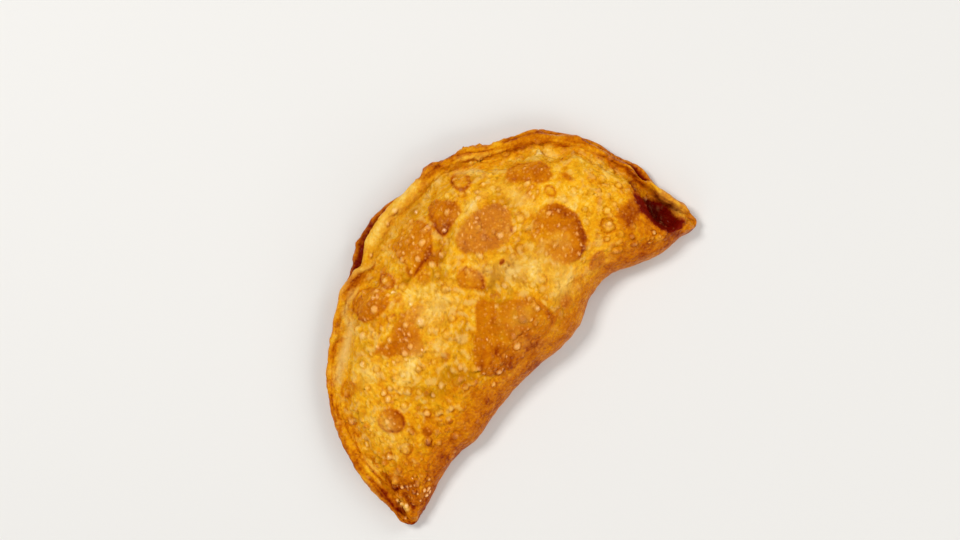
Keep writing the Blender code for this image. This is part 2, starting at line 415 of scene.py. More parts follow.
BLISTERS = (
    # Right of the middle: a broad hazy one, and the round one by the fold.
    Blister(((13, 78), (24, 81), (31, 80.5), (36, 79), (40, 76.5), (41.5, 72), (41, 68), (36, 61.5),
        (31, 59.5), (25, 60.5), (21, 64), (12.5, 69.5), (11, 73)), rise=1.4, core=0.25, soft=2.4,
        haze=0.08),
    Blister(((25, 81), (36, 80), (41, 76), (41, 72), (37, 75), (30, 77.5)), core=0.2, soft=4),
    # The round one is darker on its side away from the key light: painted shade.
    Blister(((38.5, 53), (41, 55.5), (46, 57.5), (50, 59.5), (54.5, 59.5), (58.5, 57), (61.5, 52),
        (62.5, 46.5), (61.5, 41), (59.5, 36), (57, 33), (53, 30.5), (48, 29.5), (42.5, 31), (40, 34),
        (39, 41), (38, 47)), rise=1.6, core=0.22, edge=0.05, soft=1.8, dark_side=-20, lean=0.35),
    Blister(((52, 82), (56, 83.5), (61, 82.5), (66, 78.5), (70, 73.5), (70.5, 69), (68, 66), (64, 65.5),
        (60.5, 68.5), (58, 72), (55, 76), (52, 79)), rise=0.7, core=0.27, edge=0.05, soft=1.8,
        dark_side=-50, lean=0.1),
    # Along the rim: the pointed one, the bubbly one, the ringed one and the big one on the left.
    Blister(((11, 83), (12.5, 82.5), (16, 84), (22, 84.5), (26, 85), (27.5, 88), (26.5, 91), (24, 95),
        (20.5, 99), (18.5, 99.5), (16, 98), (13, 95.5), (12, 92), (10.5, 89), (10, 86)), rise=1.8,
        core=0.31, edge=0.06, soft=1.6, dark_side=215, lean=0.3),
    Blister(((-13.5, 81), (-12, 80), (-8, 80.3), (-3, 81), (1.5, 82), (5, 84.5), (8, 88), (10.5, 91),
        (10, 94), (8.5, 97), (7.5, 100.5), (3, 101.5), (-4, 100), (-9, 101), (-12.5, 98.5), (-10, 95.5),
        (-11.5, 91.5), (-12, 87), (-13.5, 84.5)), rise=1.5, core=0.17, edge=0.07, soft=1.6, dark_side=-75,
        lean=0.3),
    Blister(((-13, 80.3), (-6, 80.3), (1.5, 82), (5, 85), (2, 86), (-3, 83.5), (-9, 82.5)),
        core=0.33, soft=2),
    Blister(oval_outline(36, 96, 4.9, 5.6), rise=1.4, core=0.13, edge=0.24, soft=1.6, dark_side=200,
        lean=0.2),
    Blister(((-45.5, 87), (-45, 91.5), (-41, 94.5), (-36.5, 95.5), (-32, 94), (-29.5, 90.5),
        (-27.5, 86.5), (-27, 82), (-30.5, 79.5), (-36, 79), (-41, 80), (-45, 82.5)), rise=1.9, core=0.21,
        edge=0.08, soft=1.8, dark_side=200, lean=0.3),
    Blister(oval_outline(-23, 88.3, 3.9, 4.6), rise=1, core=0.13, edge=0.2, soft=1.4),
    Blister(oval_outline(-25, 79.3, 2.8, 2.4), rise=0.5, core=0.17, edge=0.06, soft=1.2),
    # Left of the middle: the spurred one, and the hollow one inside the fold of the lobe.
    Blister(((-53, 69.2), (-46.5, 69.8), (-42, 70.5), (-36, 71.8), (-29, 71.5), (-22, 71.2),
        (-18.5, 68.5), (-23, 65.4), (-28, 65), (-29.5, 62), (-31, 58.5), (-33, 55), (-35.5, 52.5),
        (-38.5, 54.5), (-41.5, 56.5), (-44, 60), (-48, 62.5), (-49.5, 66.5)), rise=1, core=0.23, soft=1.5,
        dark_side=200, lean=0.15),
    # The hollow is darkened with painted shade behind the lobe's raised crest.
    Blister(oval_outline(-31.5, 98.5, 4, 3, -20), rise=-0.8, core=0.1, soft=3),
    # The middle: a small ridged one.
    Blister(((-0.5, 60), (0, 65), (4, 67), (8, 66), (10, 62), (11.5, 58), (9.5, 54.5), (7, 52), (5, 53),
        (2.5, 56)), rise=1, core=0.24, edge=0.09, soft=2, dark_side=300, lean=0.25),
    # By the fold: one broad patch, with a raised left end, a dark stripe and a rough right end.
    Blister(((-23.5, 25), (-22.5, 30), (-20, 34), (-15.5, 39), (-11, 41.5), (-7, 44.5), (-3, 49.5),
        (0, 51), (3, 49), (6, 44), (10, 40.5), (15, 37.5), (19.5, 34.5), (21, 30), (21, 19), (17, 16.5),
        (10, 17), (4, 15.5), (-3, 16), (-8, 15.5), (-13, 17), (-17, 19.5), (-21, 21)), rise=0.9,
        core=0.27, soft=1.8, dark_side=230, lean=0.1),
    Blister(oval_outline(-17.3, 25.7, 6.4, 6.2), rise=1.3, core=0.24, edge=0.04, soft=1.6,
        dark_side=180, lean=0.15),
    Blister(((-13.5, 16), (-14, 22), (-13, 28), (-10, 31), (-5.2, 30.5), (-4.8, 24), (-5, 17),
        (-9, 15.5)), rise=0.2, core=0.38, soft=2.6),
    Blister(oval_outline(12.5, 25.5, 8, 9.5, -10), rise=0.8, core=0.14, edge=0.02, soft=2),
    Blister(oval_outline(5, 14.8, 5.5, 1.8, -5), rise=0.3, core=0.18, soft=1.6, haze=0.1),
    # The left end.
    Blister(oval_outline(-70, 40.8, 6.2, 7.2, 20), rise=1.4, core=0.29, edge=0.07, soft=1.4,
        dark_side=-50, lean=0.28),
    Blister(oval_outline(-74, 66.5, 5, 4), rise=0.7, core=0.15, edge=0.08, soft=2),
    Blister(oval_outline(-62, 25, 2.4, 2.6), rise=0.4, core=0.25, soft=1.4),
    Blister(oval_outline(-10, 76.5, 3.2, 3), rise=0.6, core=0.14, edge=0.04, soft=1.6),
    # The right end.
    Blister(((75, 31), (80, 32.5), (86, 30.5), (85, 24), (81, 22), (76, 23), (74.5, 27)),
        core=0.27, soft=4.4),
    Blister(oval_outline(53.5, 23, 5.5, 3, 12), rise=0.7, core=0.19, edge=0.1, soft=1.8),
    Blister(oval_outline(61.8, 61.5, 2.9, 3.7), rise=0.6, core=0.05, edge=0.26, soft=1.2),
    Blister(oval_outline(55.8, 67.2, 3.8, 3.5), rise=0.6, core=0.08, edge=0.12, soft=1.4),
    Blister(oval_outline(72.5, 60.5, 1.5, 3.4, 10), rise=0.4, core=0.22, soft=1.4),
    Blister(oval_outline(29, 20, 3.2, 3), rise=0.5, core=0.22, soft=1.6),
    Blister(oval_outline(23.5, 12.5, 5.5, 2.5, 10), core=0.14, soft=2),
    Blister(oval_outline(21.5, 55, 1.8, 1.3, 10), rise=0.2, core=0.46, soft=0.8),
)


class Stroke(NamedTuple):
    """A crease, ridge or tinted line: its points, half width, rise, browning and paleness."""

    points: tuple
    half_width: float
    rise: float
    brown: float
    pale: float = 0.0


STROKES = (
    # Left tip: dark grooves between the layers of the rim, darkened by browning and painted shade,
    # and paler ridges between them, with painted highlights near the tip.
    Stroke(((-98.4, 4), (-99.6, 10), (-99.4, 15), (-98.4, 19), (-97.4, 26)), 0.8, -0.6, 0.16),
    Stroke(((-101.2, 1), (-102.4, 11), (-101.4, 22), (-99.8, 35)), 1.8, 0, -0.02),
    Stroke(((-98.6, 27), (-98.6, 33), (-97, 38.5), (-93.5, 41.5)), 0.7, -0.4, 0.12),
    Stroke(((-94.2, 3), (-93.3, 9), (-92, 14)), 1.1, -0.7, 0.22),
    Stroke(((-94.4, 14), (-93.2, 20), (-91.6, 28)), 1.3, -0.6, 0.27),
    Stroke(((-94.4, 17.2), (-91, 15.2), (-87, 12.8)), 0.6, -0.5, 0.18),
    Stroke(((-91.2, 27), (-90.8, 38), (-89, 45), (-86.5, 50), (-82, 57.5)), 1.1, -0.5, 0.14),
    Stroke(((-97, 4), (-96.2, 11), (-96.6, 17), (-96.2, 26), (-95.6, 34), (-94.6, 39)), 1.1, 0.9, -0.12),
    Stroke(((-94.3, 27), (-93.2, 33), (-92.6, 39.5)), 1, 0.2, -0.1, 0.2),
    Stroke(((-96, 4.5), (-96, 9), (-96.6, 13)), 1, 0.5, -0.14, 0.3),
    Stroke(((-99.5, 38), (-95.5, 49), (-89, 58.5), (-81, 70)), 1, 0, 0.1),
    Stroke(((-97.5, 43), (-93, 52), (-86.5, 61), (-80.5, 68)), 0.8, -0.4, 0.12),
    Stroke(((-86.5, 63), (-84, 68), (-80.5, 72)), 0.7, -0.4, 0.2),
    # Left of the middle: the pale valley inside the rim, the small lobe and the big one.
    Stroke(((-79, 70), (-74, 73.5), (-68, 77.5), (-60, 81.5), (-53, 85.5), (-46, 91.5)), 2, -0.3, -0.02,
        0.9),
    Stroke(((-52, 91), (-45, 95), (-36, 97)), 1.3, -0.3, 0.04, 0.5),
    Stroke(((-66, 84.5), (-62, 85.6), (-57, 85)), 0.7, -0.6, 0.2),
    Stroke(((-64, 87.5), (-60, 88.5), (-57, 88)), 1.6, 0.8, -0.04),
    # The big lobe: its crest paler, a painted highlight, and the hollow behind it darker, painted shade.
    Stroke(((-47, 99.8), (-40, 102), (-34, 103.2), (-29, 102), (-25, 100), (-19, 99)), 1, 1.5, -0.1, 0.3),
    Stroke(((-46, 97.6), (-39, 99.6), (-33, 100.4), (-28, 98.6)), 1.6, -0.6, 0.08),
    # The top: a shallow valley inside the bulged edge, and the gap that opens right of it.
    Stroke(((-17, 100.5), (-8, 102.8), (2, 103.8), (14, 104), (25, 103.2), (34, 102.5)), 2.2, -0.4, 0),
    Stroke(((20.5, 111.5), (22, 109.6), (25, 108.6), (31, 108.2), (36, 109.3)), 1, -0.7, 0.1),
    # The right: strands of the rim, the smooth thick ridge and the dark line inside it, which is
    # browning and painted shade; the last three are painted shade on the lower lip under the upper one.
    Stroke(((30, 107.6), (36, 105.4), (41, 102), (46, 97.4), (50, 93.6)), 0.9, -0.3, 0.05),
    Stroke(((41, 106.2), (47, 101.8), (51, 98.2), (57, 94)), 1.2, 0.4, -0.14, 0.15),
    Stroke(((38, 110), (45.5, 106.6), (52, 102.6), (58, 97.6), (66, 94.4), (74, 90.4)), 2.4, 0, 0.06),
    Stroke(((42, 108.2), (46, 105), (50, 101.2), (54, 98.2), (58, 96)), 0.9, -0.4, 0),
    Stroke(((35.5, 102.4), (40, 98), (44.5, 93.8), (48.4, 90)), 1.3, 0.3, -0.2, 0.5),
    Stroke(((40, 101.5), (45.5, 96.8), (50.5, 91.2)), 1, -0.4, 0.08),
    Stroke(((51, 91), (58, 89), (65, 87.2), (71, 84.2), (77, 79.6), (82, 74), (86, 67.5), (89, 60.5),
        (91, 52), (92.6, 43)), 1.4, -0.6, 0.12),
    Stroke(((58, 92.2), (66, 90), (74, 85.6), (80, 80), (85, 73), (89, 65)), 2, 1.1, 0.03),
    Stroke(((60, 96.5), (67, 92.8), (75, 89), (82, 83), (87, 76)), 0.7, -0.5, 0.16),
    Stroke(((83, 85), (86, 80)), 0.8, -0.4, 0.24),
    Stroke(((90.5, 69), (94, 63.5), (96, 58)), 0.9, -0.4, 0.3),
    # Right tip: the crease that leads into the pocket, and the tan lip outside it.
    Stroke(((90, 60), (91.6, 53), (92.6, 46), (93.2, 38), (91.5, 33.5), (89, 30)), 1.1, -0.4, 0.06),
    Stroke(((93.6, 38.5), (92.6, 35), (90.4, 32), (88, 29)), 1.2, -0.5, 0.2),
    Stroke(((98.5, 27), (99, 16), (99.5, 5)), 3, 0.2, 0.06, 0.1),
    Stroke(((93.5, 52), (95.2, 44), (95.5, 35), (95.8, 27)), 1.4, 0.3, 0.13),
    Stroke(((95, 30), (96.5, 22), (97.2, 13), (96.5, 4)), 1.6, 0, 0.06),
    # Along the fold: two creases with paler dough between them.
    Stroke(((-24, 16), (-14, 14.4), (-4, 13.6)), 1.1, -0.3, -0.12, 0.15),
    Stroke(((-22, 11.8), (-8, 10.8), (4, 11.4), (16, 13.2)), 0.8, -0.4, 0.1, 0.1),
    Stroke(((38, 15), (46, 17.5), (54, 17.5), (60, 14)), 1, -0.4, 0.1),
    Stroke(((34, 13), (42, 16), (50, 19.5)), 1, 0.3, -0.14),
    # The dark side of the round blister, away from the key light: painted shade.
    Stroke(((51, 57.5), (57, 54), (59.6, 48), (59.4, 42), (56.6, 36), (51, 32), (45, 32.5)), 2.4, 0,
        0.13),
    # Raised bands between the blisters. The first and the last are paler along their crests: painted
    # highlights.
    Stroke(((-8, 66.5), (0, 71.5), (8, 76.5), (16, 81.5), (27, 83.5), (40, 83.5)), 1.8, 0.6, -0.1),
    Stroke(((21, 99.5), (25, 96), (29, 91.5)), 0.8, 0.5, -0.14),
    Stroke(((6, 68.5), (9, 66.5), (12, 63.5)), 0.8, 0.4, -0.1),
    Stroke(((3, 79.5), (0, 76.5), (4, 80)), 0.8, -0.3, 0.12),
    Stroke(((-36.5, 76), (-33.5, 75), (-30.5, 75.8)), 0.6, -0.3, 0.18),
    Stroke(((-40, 92.3), (-37, 93.2), (-33, 92)), 0.9, 0.3, -0.14),
)


class Tint(NamedTuple):
    """A broad tint: its middle, half sizes, how much browner, paler and more olive it is, and its turn.
    """

    x: float
    y: float
    length: float
    width: float
    brown: float
    pale: float = 0.0
    olive: float = 0.0
    turn: float = 0.0


TINTS = (
    # Pale stretches between the blisters.
    Tint(26, 46, 15, 7, -0.22, 0.35, turn=-35), Tint(-17, 63, 12, 7, -0.2, 0.35, turn=-10),
    Tint(-20, 76, 9, 4, -0.14, 0.15, turn=-10), Tint(-45, 53, 11, 5, -0.18, 0.3, turn=15),
    Tint(-61, 65, 7, 6, -0.06, 0.22, turn=30), Tint(-76, 40, 8, 14, -0.12, 0.1, turn=-10),
    Tint(35, 27, 9, 7, -0.06, 0.4, turn=20), Tint(49, 71, 3.5, 10, -0.12, 0.35, turn=10),
    Tint(33, 84.5, 13, 3, -0.12, 0.15, turn=-5), Tint(72, 78, 10, 6, -0.26, turn=-45),
    # The first two here are lighter where the right slopes turn from the key light: partly painted light.
    Tint(89, 49, 4, 10, -0.15), Tint(100.5, 12, 3, 14, -0.24, 0.06), Tint(-101.5, 3.5, 2.5, 3, -0.16),
    Tint(-90, 42, 3, 10, -0.14), Tint(-78, 36, 6, 7, 0.06, 0, 0.1), Tint(-80, 50, 5, 5, -0.17),
    Tint(-46, 74, 9, 7, -0.05), Tint(2, 100, 20, 3, -0.04), Tint(-22, 101, 8, 4, -0.18),
    Tint(-62, 80, 10, 3, -0.16, turn=35), Tint(-41, 71, 8, 3, -0.14), Tint(10, 20, 12, 5, -0.1),
    Tint(19, 40, 4, 5, -0.1), Tint(8, 31, 9, 6, -0.12, 0.08), Tint(1, 20, 6, 4, -0.12, 0.1),
    Tint(8, 10, 34, 4, -0.12), Tint(-60, 88.5, 5, 2.5, -0.3, 0.06, turn=20),
    Tint(52, 21, 12, 6, -0.12, 0.1, turn=15), Tint(-6, 109, 20, 4.5, -0.36, 0.18, turn=3),
    Tint(14, 111.5, 11, 4, -0.28, 0.22), Tint(12, 60, 5, 5, -0.05, 0.25), Tint(-29, 49, 5, 5, -0.18, 0.2),
    # Oily golden stretches.
    Tint(-41, 37, 17, 7, 0.02, 0, 0.38, turn=10), Tint(-30, 30, 7, 10, 0.02, 0, 0.4, turn=20),
    Tint(-55, 75, 7, 4, 0, 0, 0.25, turn=20), Tint(14, 51.5, 8, 3.5, 0.06, 0, 0.7, turn=-15),
    Tint(7, 43, 3, 6, 0, 0, 0.35, turn=30), Tint(-6, 73, 8, 4, 0.04, 0, 0.4),
    Tint(4, 77, 6, 3, 0.06, 0, 0.4, turn=30), Tint(29, 21, 8, 5, 0.02, 0, 0.65),
    # The second here is the olive of the shallow valley inside the bulged edge: partly painted shade.
    Tint(22, 14.5, 28, 5, -0.03, 0, 0.4, turn=5), Tint(8, 103, 30, 3, -0.12, 0, 0.55),
    Tint(10, 82, 14, 4, 0.08, 0, 0.35, turn=10), Tint(-15, 83, 5, 5, 0.06, 0, 0.4),
    # The first here darkens the hollow behind the big lobe: painted shade.
    Tint(-31, 98.5, 8, 3.5, 0.12, 0, 0.1), Tint(-44, 85, 5, 8, 0.02, 0, 0.3, turn=20),
    Tint(44, 74, 3, 8, 0.02, 0, 0.4), Tint(48, 42.5, 4, 5.5, -0.12, 0.12, 0.2),
    Tint(-71.8, 41, 2.6, 3.4, -0.16, 0.22, turn=20), Tint(-52, 44, 8, 5, 0, 0, 0.3),
    Tint(-18, 44, 8, 5, 0, 0, 0.3, turn=30), Tint(38, 40, 3, 10, -0.02, 0.1, 0.3),
    Tint(22, 52, 20, 10, 0.03, 0, 0.3),
    # Browner stretches.
    Tint(61, 91, 9, 4, 0.05, turn=-30), Tint(-59, 57, 5, 4, 0.1), Tint(-30, 60, 4, 4, 0.08),
    Tint(-64, 30, 12, 9, 0.08), Tint(-66, 14, 30, 8, 0.24), Tint(-92, 14, 13, 18, 0.13),
    Tint(-88, 14, 7, 10, 0.16), Tint(20, 20, 5, 5, 0.22, 0, 0.4), Tint(-93, 5, 6, 4, 0.16),
    Tint(0, 42, 50, 28, 0.03), Tint(85, 5, 5, 3, 0.12), Tint(4, 28, 20, 13, -0.03, 0, 0.35),
    Tint(50, 19, 9, 4, 0.06, 0, 0.3, turn=10), Tint(60, 30, 6, 5, 0.1), Tint(-52, 22, 20, 6, 0.08),
    Tint(92.5, 30, 4.5, 7, 0.2), Tint(-48, 30, 16, 5, 0.12), Tint(-6, 80, 10, 4, 0.12),
    Tint(14, 61, 7, 4, 0.08), Tint(28, 90, 5, 4, 0.1), Tint(88, 34, 7, 5, 0.1),
    Tint(74, 18, 17, 14, 0.23, turn=-12), Tint(-31, 20, 7, 5, 0.17, 0, 0.3), Tint(-58, 11, 15, 4.5, 0.18),
    Tint(10, 17, 18, 5, 0.05), Tint(-11, 17.5, 4.5, 3, -0.16), Tint(-60, 40, 5, 6, 0.05),
    Tint(48, 12, 9, 4, -0.03, 0, 0.3), Tint(-37, 30, 10, 5, 0.12), Tint(10, 91, 4, 6, 0.06),
    # The tints at X 90 on this line and the next shape the dark of the pocket: painted shade.
    Tint(1, 80.5, 6, 3, 0.1, turn=10), Tint(90, 13, 9, 15, 0.28), Tint(90, 9, 5, 6, 0.2),
    Tint(90, 22, 3, 5, -0.14),
)

# The rim's length, and how strongly it is creased along its way, as (share, strength).
RIM_LENGTH = 270.0
STRAND_STRENGTH = (
    (0, 1), (0.12, 1), (0.25, 0.6), (0.38, 0.2), (0.5, 0.2), (0.58, 0.9), (0.68, 0.8), (0.74, 0.6),
    (0.85, 0.7), (1, 0.4),
)

# The pocket by the right tip, where the rim folded over itself.
POCKET = (
    (88.7, 31.2), (86.8, 27.8), (84.9, 24), (84.8, 19), (86, 13), (87, 8), (89, 4.6), (93, 3.8),
    (95.6, 5.6), (96, 10), (95.6, 16), (94.4, 20.5), (92.5, 24), (90.4, 28),
)
POCKET_DEPTH = 1.8

# Bubbles listed as X, Y and radius: pale ones, plain ones, glossy ones by the left tip and
# dark ones, each kind with the browning of its cap and of the ring round it, and how creamy its
# thin cap is. The ring is partly browning and partly painted shade in the groove, the cream cap
# partly a painted highlight, and the glossy ones' full cream caps are painted glints of oil.
BUBBLES = (
    (-0.14, 0.2, 0.55, (
        (30.3, 64, 2.2), (16.3, 64.6, 1.6), (20.7, 90.3, 1.7), (13.8, 85.2, 1.4), (24.3, 86, 0.9),
        (2.5, 88.5, 2.2), (-5.2, 84.8, 1.8), (-12, 83, 1.2), (-10.5, 90.3, 1.6), (-8.3, 84, 0.9),
        (1.3, 94, 0.9), (2.2, 97, 1.3), (5.5, 99.5, 1.9), (9, 91.5, 1.8), (-3, 97.5, 1.3),
        (-6, 95.5, 1.2), (-10, 99, 1.1), (-12.5, 94.5, 1.1), (-7.5, 92, 0.9), (-1, 91.5, 0.8),
        (-23.3, 89, 1.8), (-33.5, 87.5, 1.3), (-30, 88.6, 1.2), (-31.2, 86.6, 1.1), (-27, 83.5, 1.4),
        (-24.5, 82.5, 1.1), (-36.3, 83.6, 2.3), (-43.5, 83.5, 0.8), (-26.8, 91.8, 1.2), (-41.5, 59, 2),
        (-37.5, 59, 1.6), (-31.5, 67.8, 1.6), (-33.7, 63.2, 1.1), (-35.3, 64.8, 0.9), (-38.5, 64.8, 0.9),
        (-37, 62.5, 1.1), (-46, 66.8, 1.5), (-42, 67.8, 1.6), (-34.8, 53.8, 0.9), (-26, 63.5, 3),
        (-60, 69.5, 1.8), (-53.5, 70, 1.3), (-48.5, 69.8, 1.3), (-50.3, 79, 2.2), (-59, 52.2, 1.5),
        (-44, 56.5, 1.1), (-48.5, 59.5, 1.1), (-22.5, 72.5, 1.4), (53.5, 55, 1.4), (58, 52.3, 1.1),
        (47, 52.8, 0.9), (42.5, 48.5, 0.9), (41, 52, 0.8), (39, 42.5, 1.1), (56, 38.3, 1.1),
        (53.3, 33.8, 1), (49.3, 31.8, 1.1), (44.2, 35.3, 0.9), (49, 35.2, 0.8), (43.5, 42.5, 0.8),
        (50.5, 43.5, 0.9), (52.5, 47.5, 0.8), (46, 39, 0.9), (17, 27.8, 1.7), (17.3, 34, 1.2),
        (4.5, 42.3, 1.2), (11.5, 26, 1.1), (6.5, 32.5, 1.3), (-17.3, 20, 1.9), (-22.3, 28.5, 1.4),
        (-22.8, 25, 0.9), (-9.8, 35, 0.8), (-2.5, 22.5, 2.2), (-9.7, 22.5, 0.7), (-15, 19.5, 1),
        (-23.5, 17.5, 1.6), (91.8, 25.3, 1.5), (41.5, 72, 1.5), (40.2, 77.3, 1.2), (36.8, 61.5, 1.5),
        (-2.5, 78.5, 2.1), (4, 78, 1.7), (35.2, 84, 1.6), (37.5, 86.5, 1), (42, 87, 1.4),
        (10.3, 101.5, 1.6), (24, 78, 0.9), (26.5, 76.8, 1.1), (28.2, 77.5, 0.9), (23.3, 76.5, 0.8),
        (18, 77, 1.1), (32, 77, 0.9), (20, 74, 0.7), (61.5, 78, 1.1), (66.5, 72, 0.8), (57, 71.5, 1.6),
        (54.5, 68.3, 1.2), (57.2, 66.2, 1.1), (54.3, 65.4, 1), (57.6, 69, 1), (-63, 49.5, 2),
        (-63, 52.7, 1.6), (-84.5, 54, 1.7), (-83.5, 30, 1.7), (-87, 42, 1.6), (-55.5, 31, 1.8),
        (-41.5, 35.5, 1.6), (-47, 35, 1.3), (-28.5, 35, 1.6), (-71.5, 42.5, 1.5), (-70, 39, 1),
        (-73, 39.5, 0.9), (-96, 9.5, 1.3), (-89, 14.2, 0.9), (-83, 5, 0.9), (-83.2, 2.8, 0.8),
        (-87, 12.5, 0.8), (-91.5, 9.5, 0.7), (-100.8, 3.5, 0.9), (70, 30.8, 1.4), (72.5, 72, 1.3),
        (3.5, 109.3, 1.7), (-3, 107.5, 1.4), (-20, 103, 1.2), (82, 12, 1.3), (77, 10.5, 0.8),
        (14, 46.5, 1.8), (34.5, 98.3, 1.5),
    )),
    (-0.06, 0.22, 0.2, (
        (43, 63, 2.4), (-14, 54, 2.1), (-21.5, 50.5, 2.3), (32.5, 53, 2.2), (14.5, 57, 2.6),
        (-19.5, 81.5, 2.1), (-45, 75, 2), (-34, 74.5, 2.2), (-38, 72, 1.6), (-49.5, 84.5, 1.9),
        (-26.5, 57, 1.6), (-22.5, 55.5, 1.4), (69, 30.5, 3.2), (-75, 27, 2.6), (-6.5, 65.7, 1.9),
        (-60.5, 42, 1.8), (-54.5, 45, 1.7), (-33.5, 27, 1.6), (7, 64, 1.6), (-51, 41, 1.4),
        (-66.5, 60, 1.3), (-57, 63, 1.5), (47.5, 87.8, 2), (50.5, 86.8, 1.6), (31.5, 91, 1.6),
        (28, 91.5, 1.3), (-19, 60.5, 1.4), (-17.5, 57.5, 1.2), (27, 52.5, 1.6), (21, 46, 1.4),
        (23.5, 37.5, 1.6), (28.5, 35, 2), (67, 44, 1.4), (74, 36, 1.8), (87, 39.5, 1.6), (82, 45, 1.4),
        (64, 26, 1.4), (-50.5, 27, 1.5), (-45.5, 24.5, 1.3), (-67, 30.5, 1.3), (-35, 66.5, 1),
        (8.5, 81.5, 1.6), (12, 80, 1.2), (45.5, 80.5, 1.2), (-43, 49, 1.5), (-50, 52, 1.8),
        (-35, 46, 1.4), (-79, 57, 1.5), (-72, 55, 1.3),
    )),
    # Glossy ones by the left tip: their full cream caps are painted glints of oil, besides their gloss.
    (-0.24, 0.1, 1, (
        (-90.2, 15.2, 1.2), (-87.8, 13.8, 1), (-85.2, 11.6, 0.8), (-84.2, 6.4, 1.5), (-81.8, 5.2, 1.1),
        (-85.2, 3.6, 1.2), (-82.2, 3, 1), (-87.4, 7.6, 0.7), (-88.8, 4.6, 0.7), (-97.2, 12.2, 1.1),
        (-95.4, 7.4, 1.3), (-78.6, 8.6, 0.9), (-83.4, 14.8, 0.6),
    )),
    (0.2, 0.2, 0.05, (
        (-48.5, 38.5, 1.8), (40.5, 57, 0.9), (-29, 44, 2), (-57, 36, 1.2), (8, 46.5, 1.6),
        (-80, 48.5, 1.8), (-66, 21, 1.6), (67, 40.5, 1.2), (-51, 21, 1.6), (79, 67, 1.8), (83, 66, 1.2),
        (-20, 68, 1), (35.5, 62.5, 1), (58.5, 86, 1.3),
    )),
)

# Scattered bubbles: the limits of a cap's browning, of a ring's browning, which is partly painted
# shade in the groove, and of the creaminess, partly a painted highlight, and how much more often
# they are small.
SCATTERED_LOOKS = ((-0.06, 0.04), (0.02, 0.14), (0.0, 0.2))
SMALL_BIAS = 2.5


def eased(value):
    """0 below 0, 1 above 1 and a smooth step between."""
    part = np.clip(value, 0.0, 1.0)
    return part * part * (3.0 - 2.0 * part)


def bell(value, width):
    """1 where the value is 0, and falling off on both sides over the given width."""
    return np.exp(-((value / width) ** 2))


def wander(points, size, seed):
    """Smooth random values from -1 to 1 that change over about the given size."""
    table = np.random.default_rng(seed).uniform(-1.0, 1.0, (LATTICE,) * 3)
    place = points / size + 0.37 * seed
    cell = np.floor(place).astype(int)
    part = eased(place - cell)
    value = np.zeros(points.shape[:-1])
    for corner in itertools.product((0, 1), repeat=3):
        weight = np.prod(np.where(np.array(corner) > 0, part, 1.0 - part), axis=-1)
        i, j, k = np.moveaxis((cell + np.array(corner)) % LATTICE, -1, 0)
        value += weight * table[i, j, k]
    return value


def layered(points, *layers):
    """The sum of layers of smooth random values, each given as strength, size and seed."""
    return sum(strength * wander(points, size, seed) for strength, size, seed in layers)


def oval(plan, x, y, length, width, turn):
    """Each plan point's distance from an oval's middle, where the oval's outline is at 1."""
    away = plan - np.array((x, y))
    cosine, sine = direction(turn)
    lengthwise = away[..., 0] * cosine + away[..., 1] * sine
    crosswise = away[..., 1] * cosine - away[..., 0] * sine
    return np.hypot(lengthwise / length, crosswise / width)


def leg_distance(plan, start, end):
    """Each plan point's distance from a straight leg, and the share of the leg where it is nearest."""
    leg = np.array(end) - start
    away = plan - start
    part = np.clip(away @ leg / (leg @ leg), 0.0, 1.0)
    return np.linalg.norm(away - part[..., None] * leg, axis=-1), part


def inward(plan, outline):
    """How far inside a closed outline each plan point is, below 0 outside it."""
    nearest = np.full(plan.shape[:-1], np.inf)
    inside = np.zeros(plan.shape[:-1], bool)
    for start, end in zip(outline, outline[1:] + outline[:1]):
        distance, _ = leg_distance(plan, start, end)
        nearest = np.minimum(nearest, distance)
        if start[1] != end[1]:
            crossed = (start[1] > plan[..., 1]) != (end[1] > plan[..., 1])
            slope = (end[0] - start[0]) / (end[1] - start[1])
            inside ^= crossed & (plan[..., 0] < start[0] + slope * (plan[..., 1] - start[1]))
    return np.where(inside, nearest, -nearest)


def line_distance(plan, points):
    """Each plan point's distance from a smooth line, and a fade from 0 at its ends to 1 along it."""
    path = edge_points(points, np.linspace(0.0, 1.0, LINE_STEPS + 1))
    nearest = np.full(plan.shape[:-1], np.inf)
    place = np.zeros(plan.shape[:-1])
    for step in range(LINE_STEPS):
        distance, part = leg_distance(plan, path[step], path[step + 1])
        closer = distance < nearest
        nearest = np.where(closer, distance, nearest)
        place = np.where(closer, (step + part) / LINE_STEPS, place)
    return nearest, eased(np.minimum(place, 1.0 - place) / 0.2)


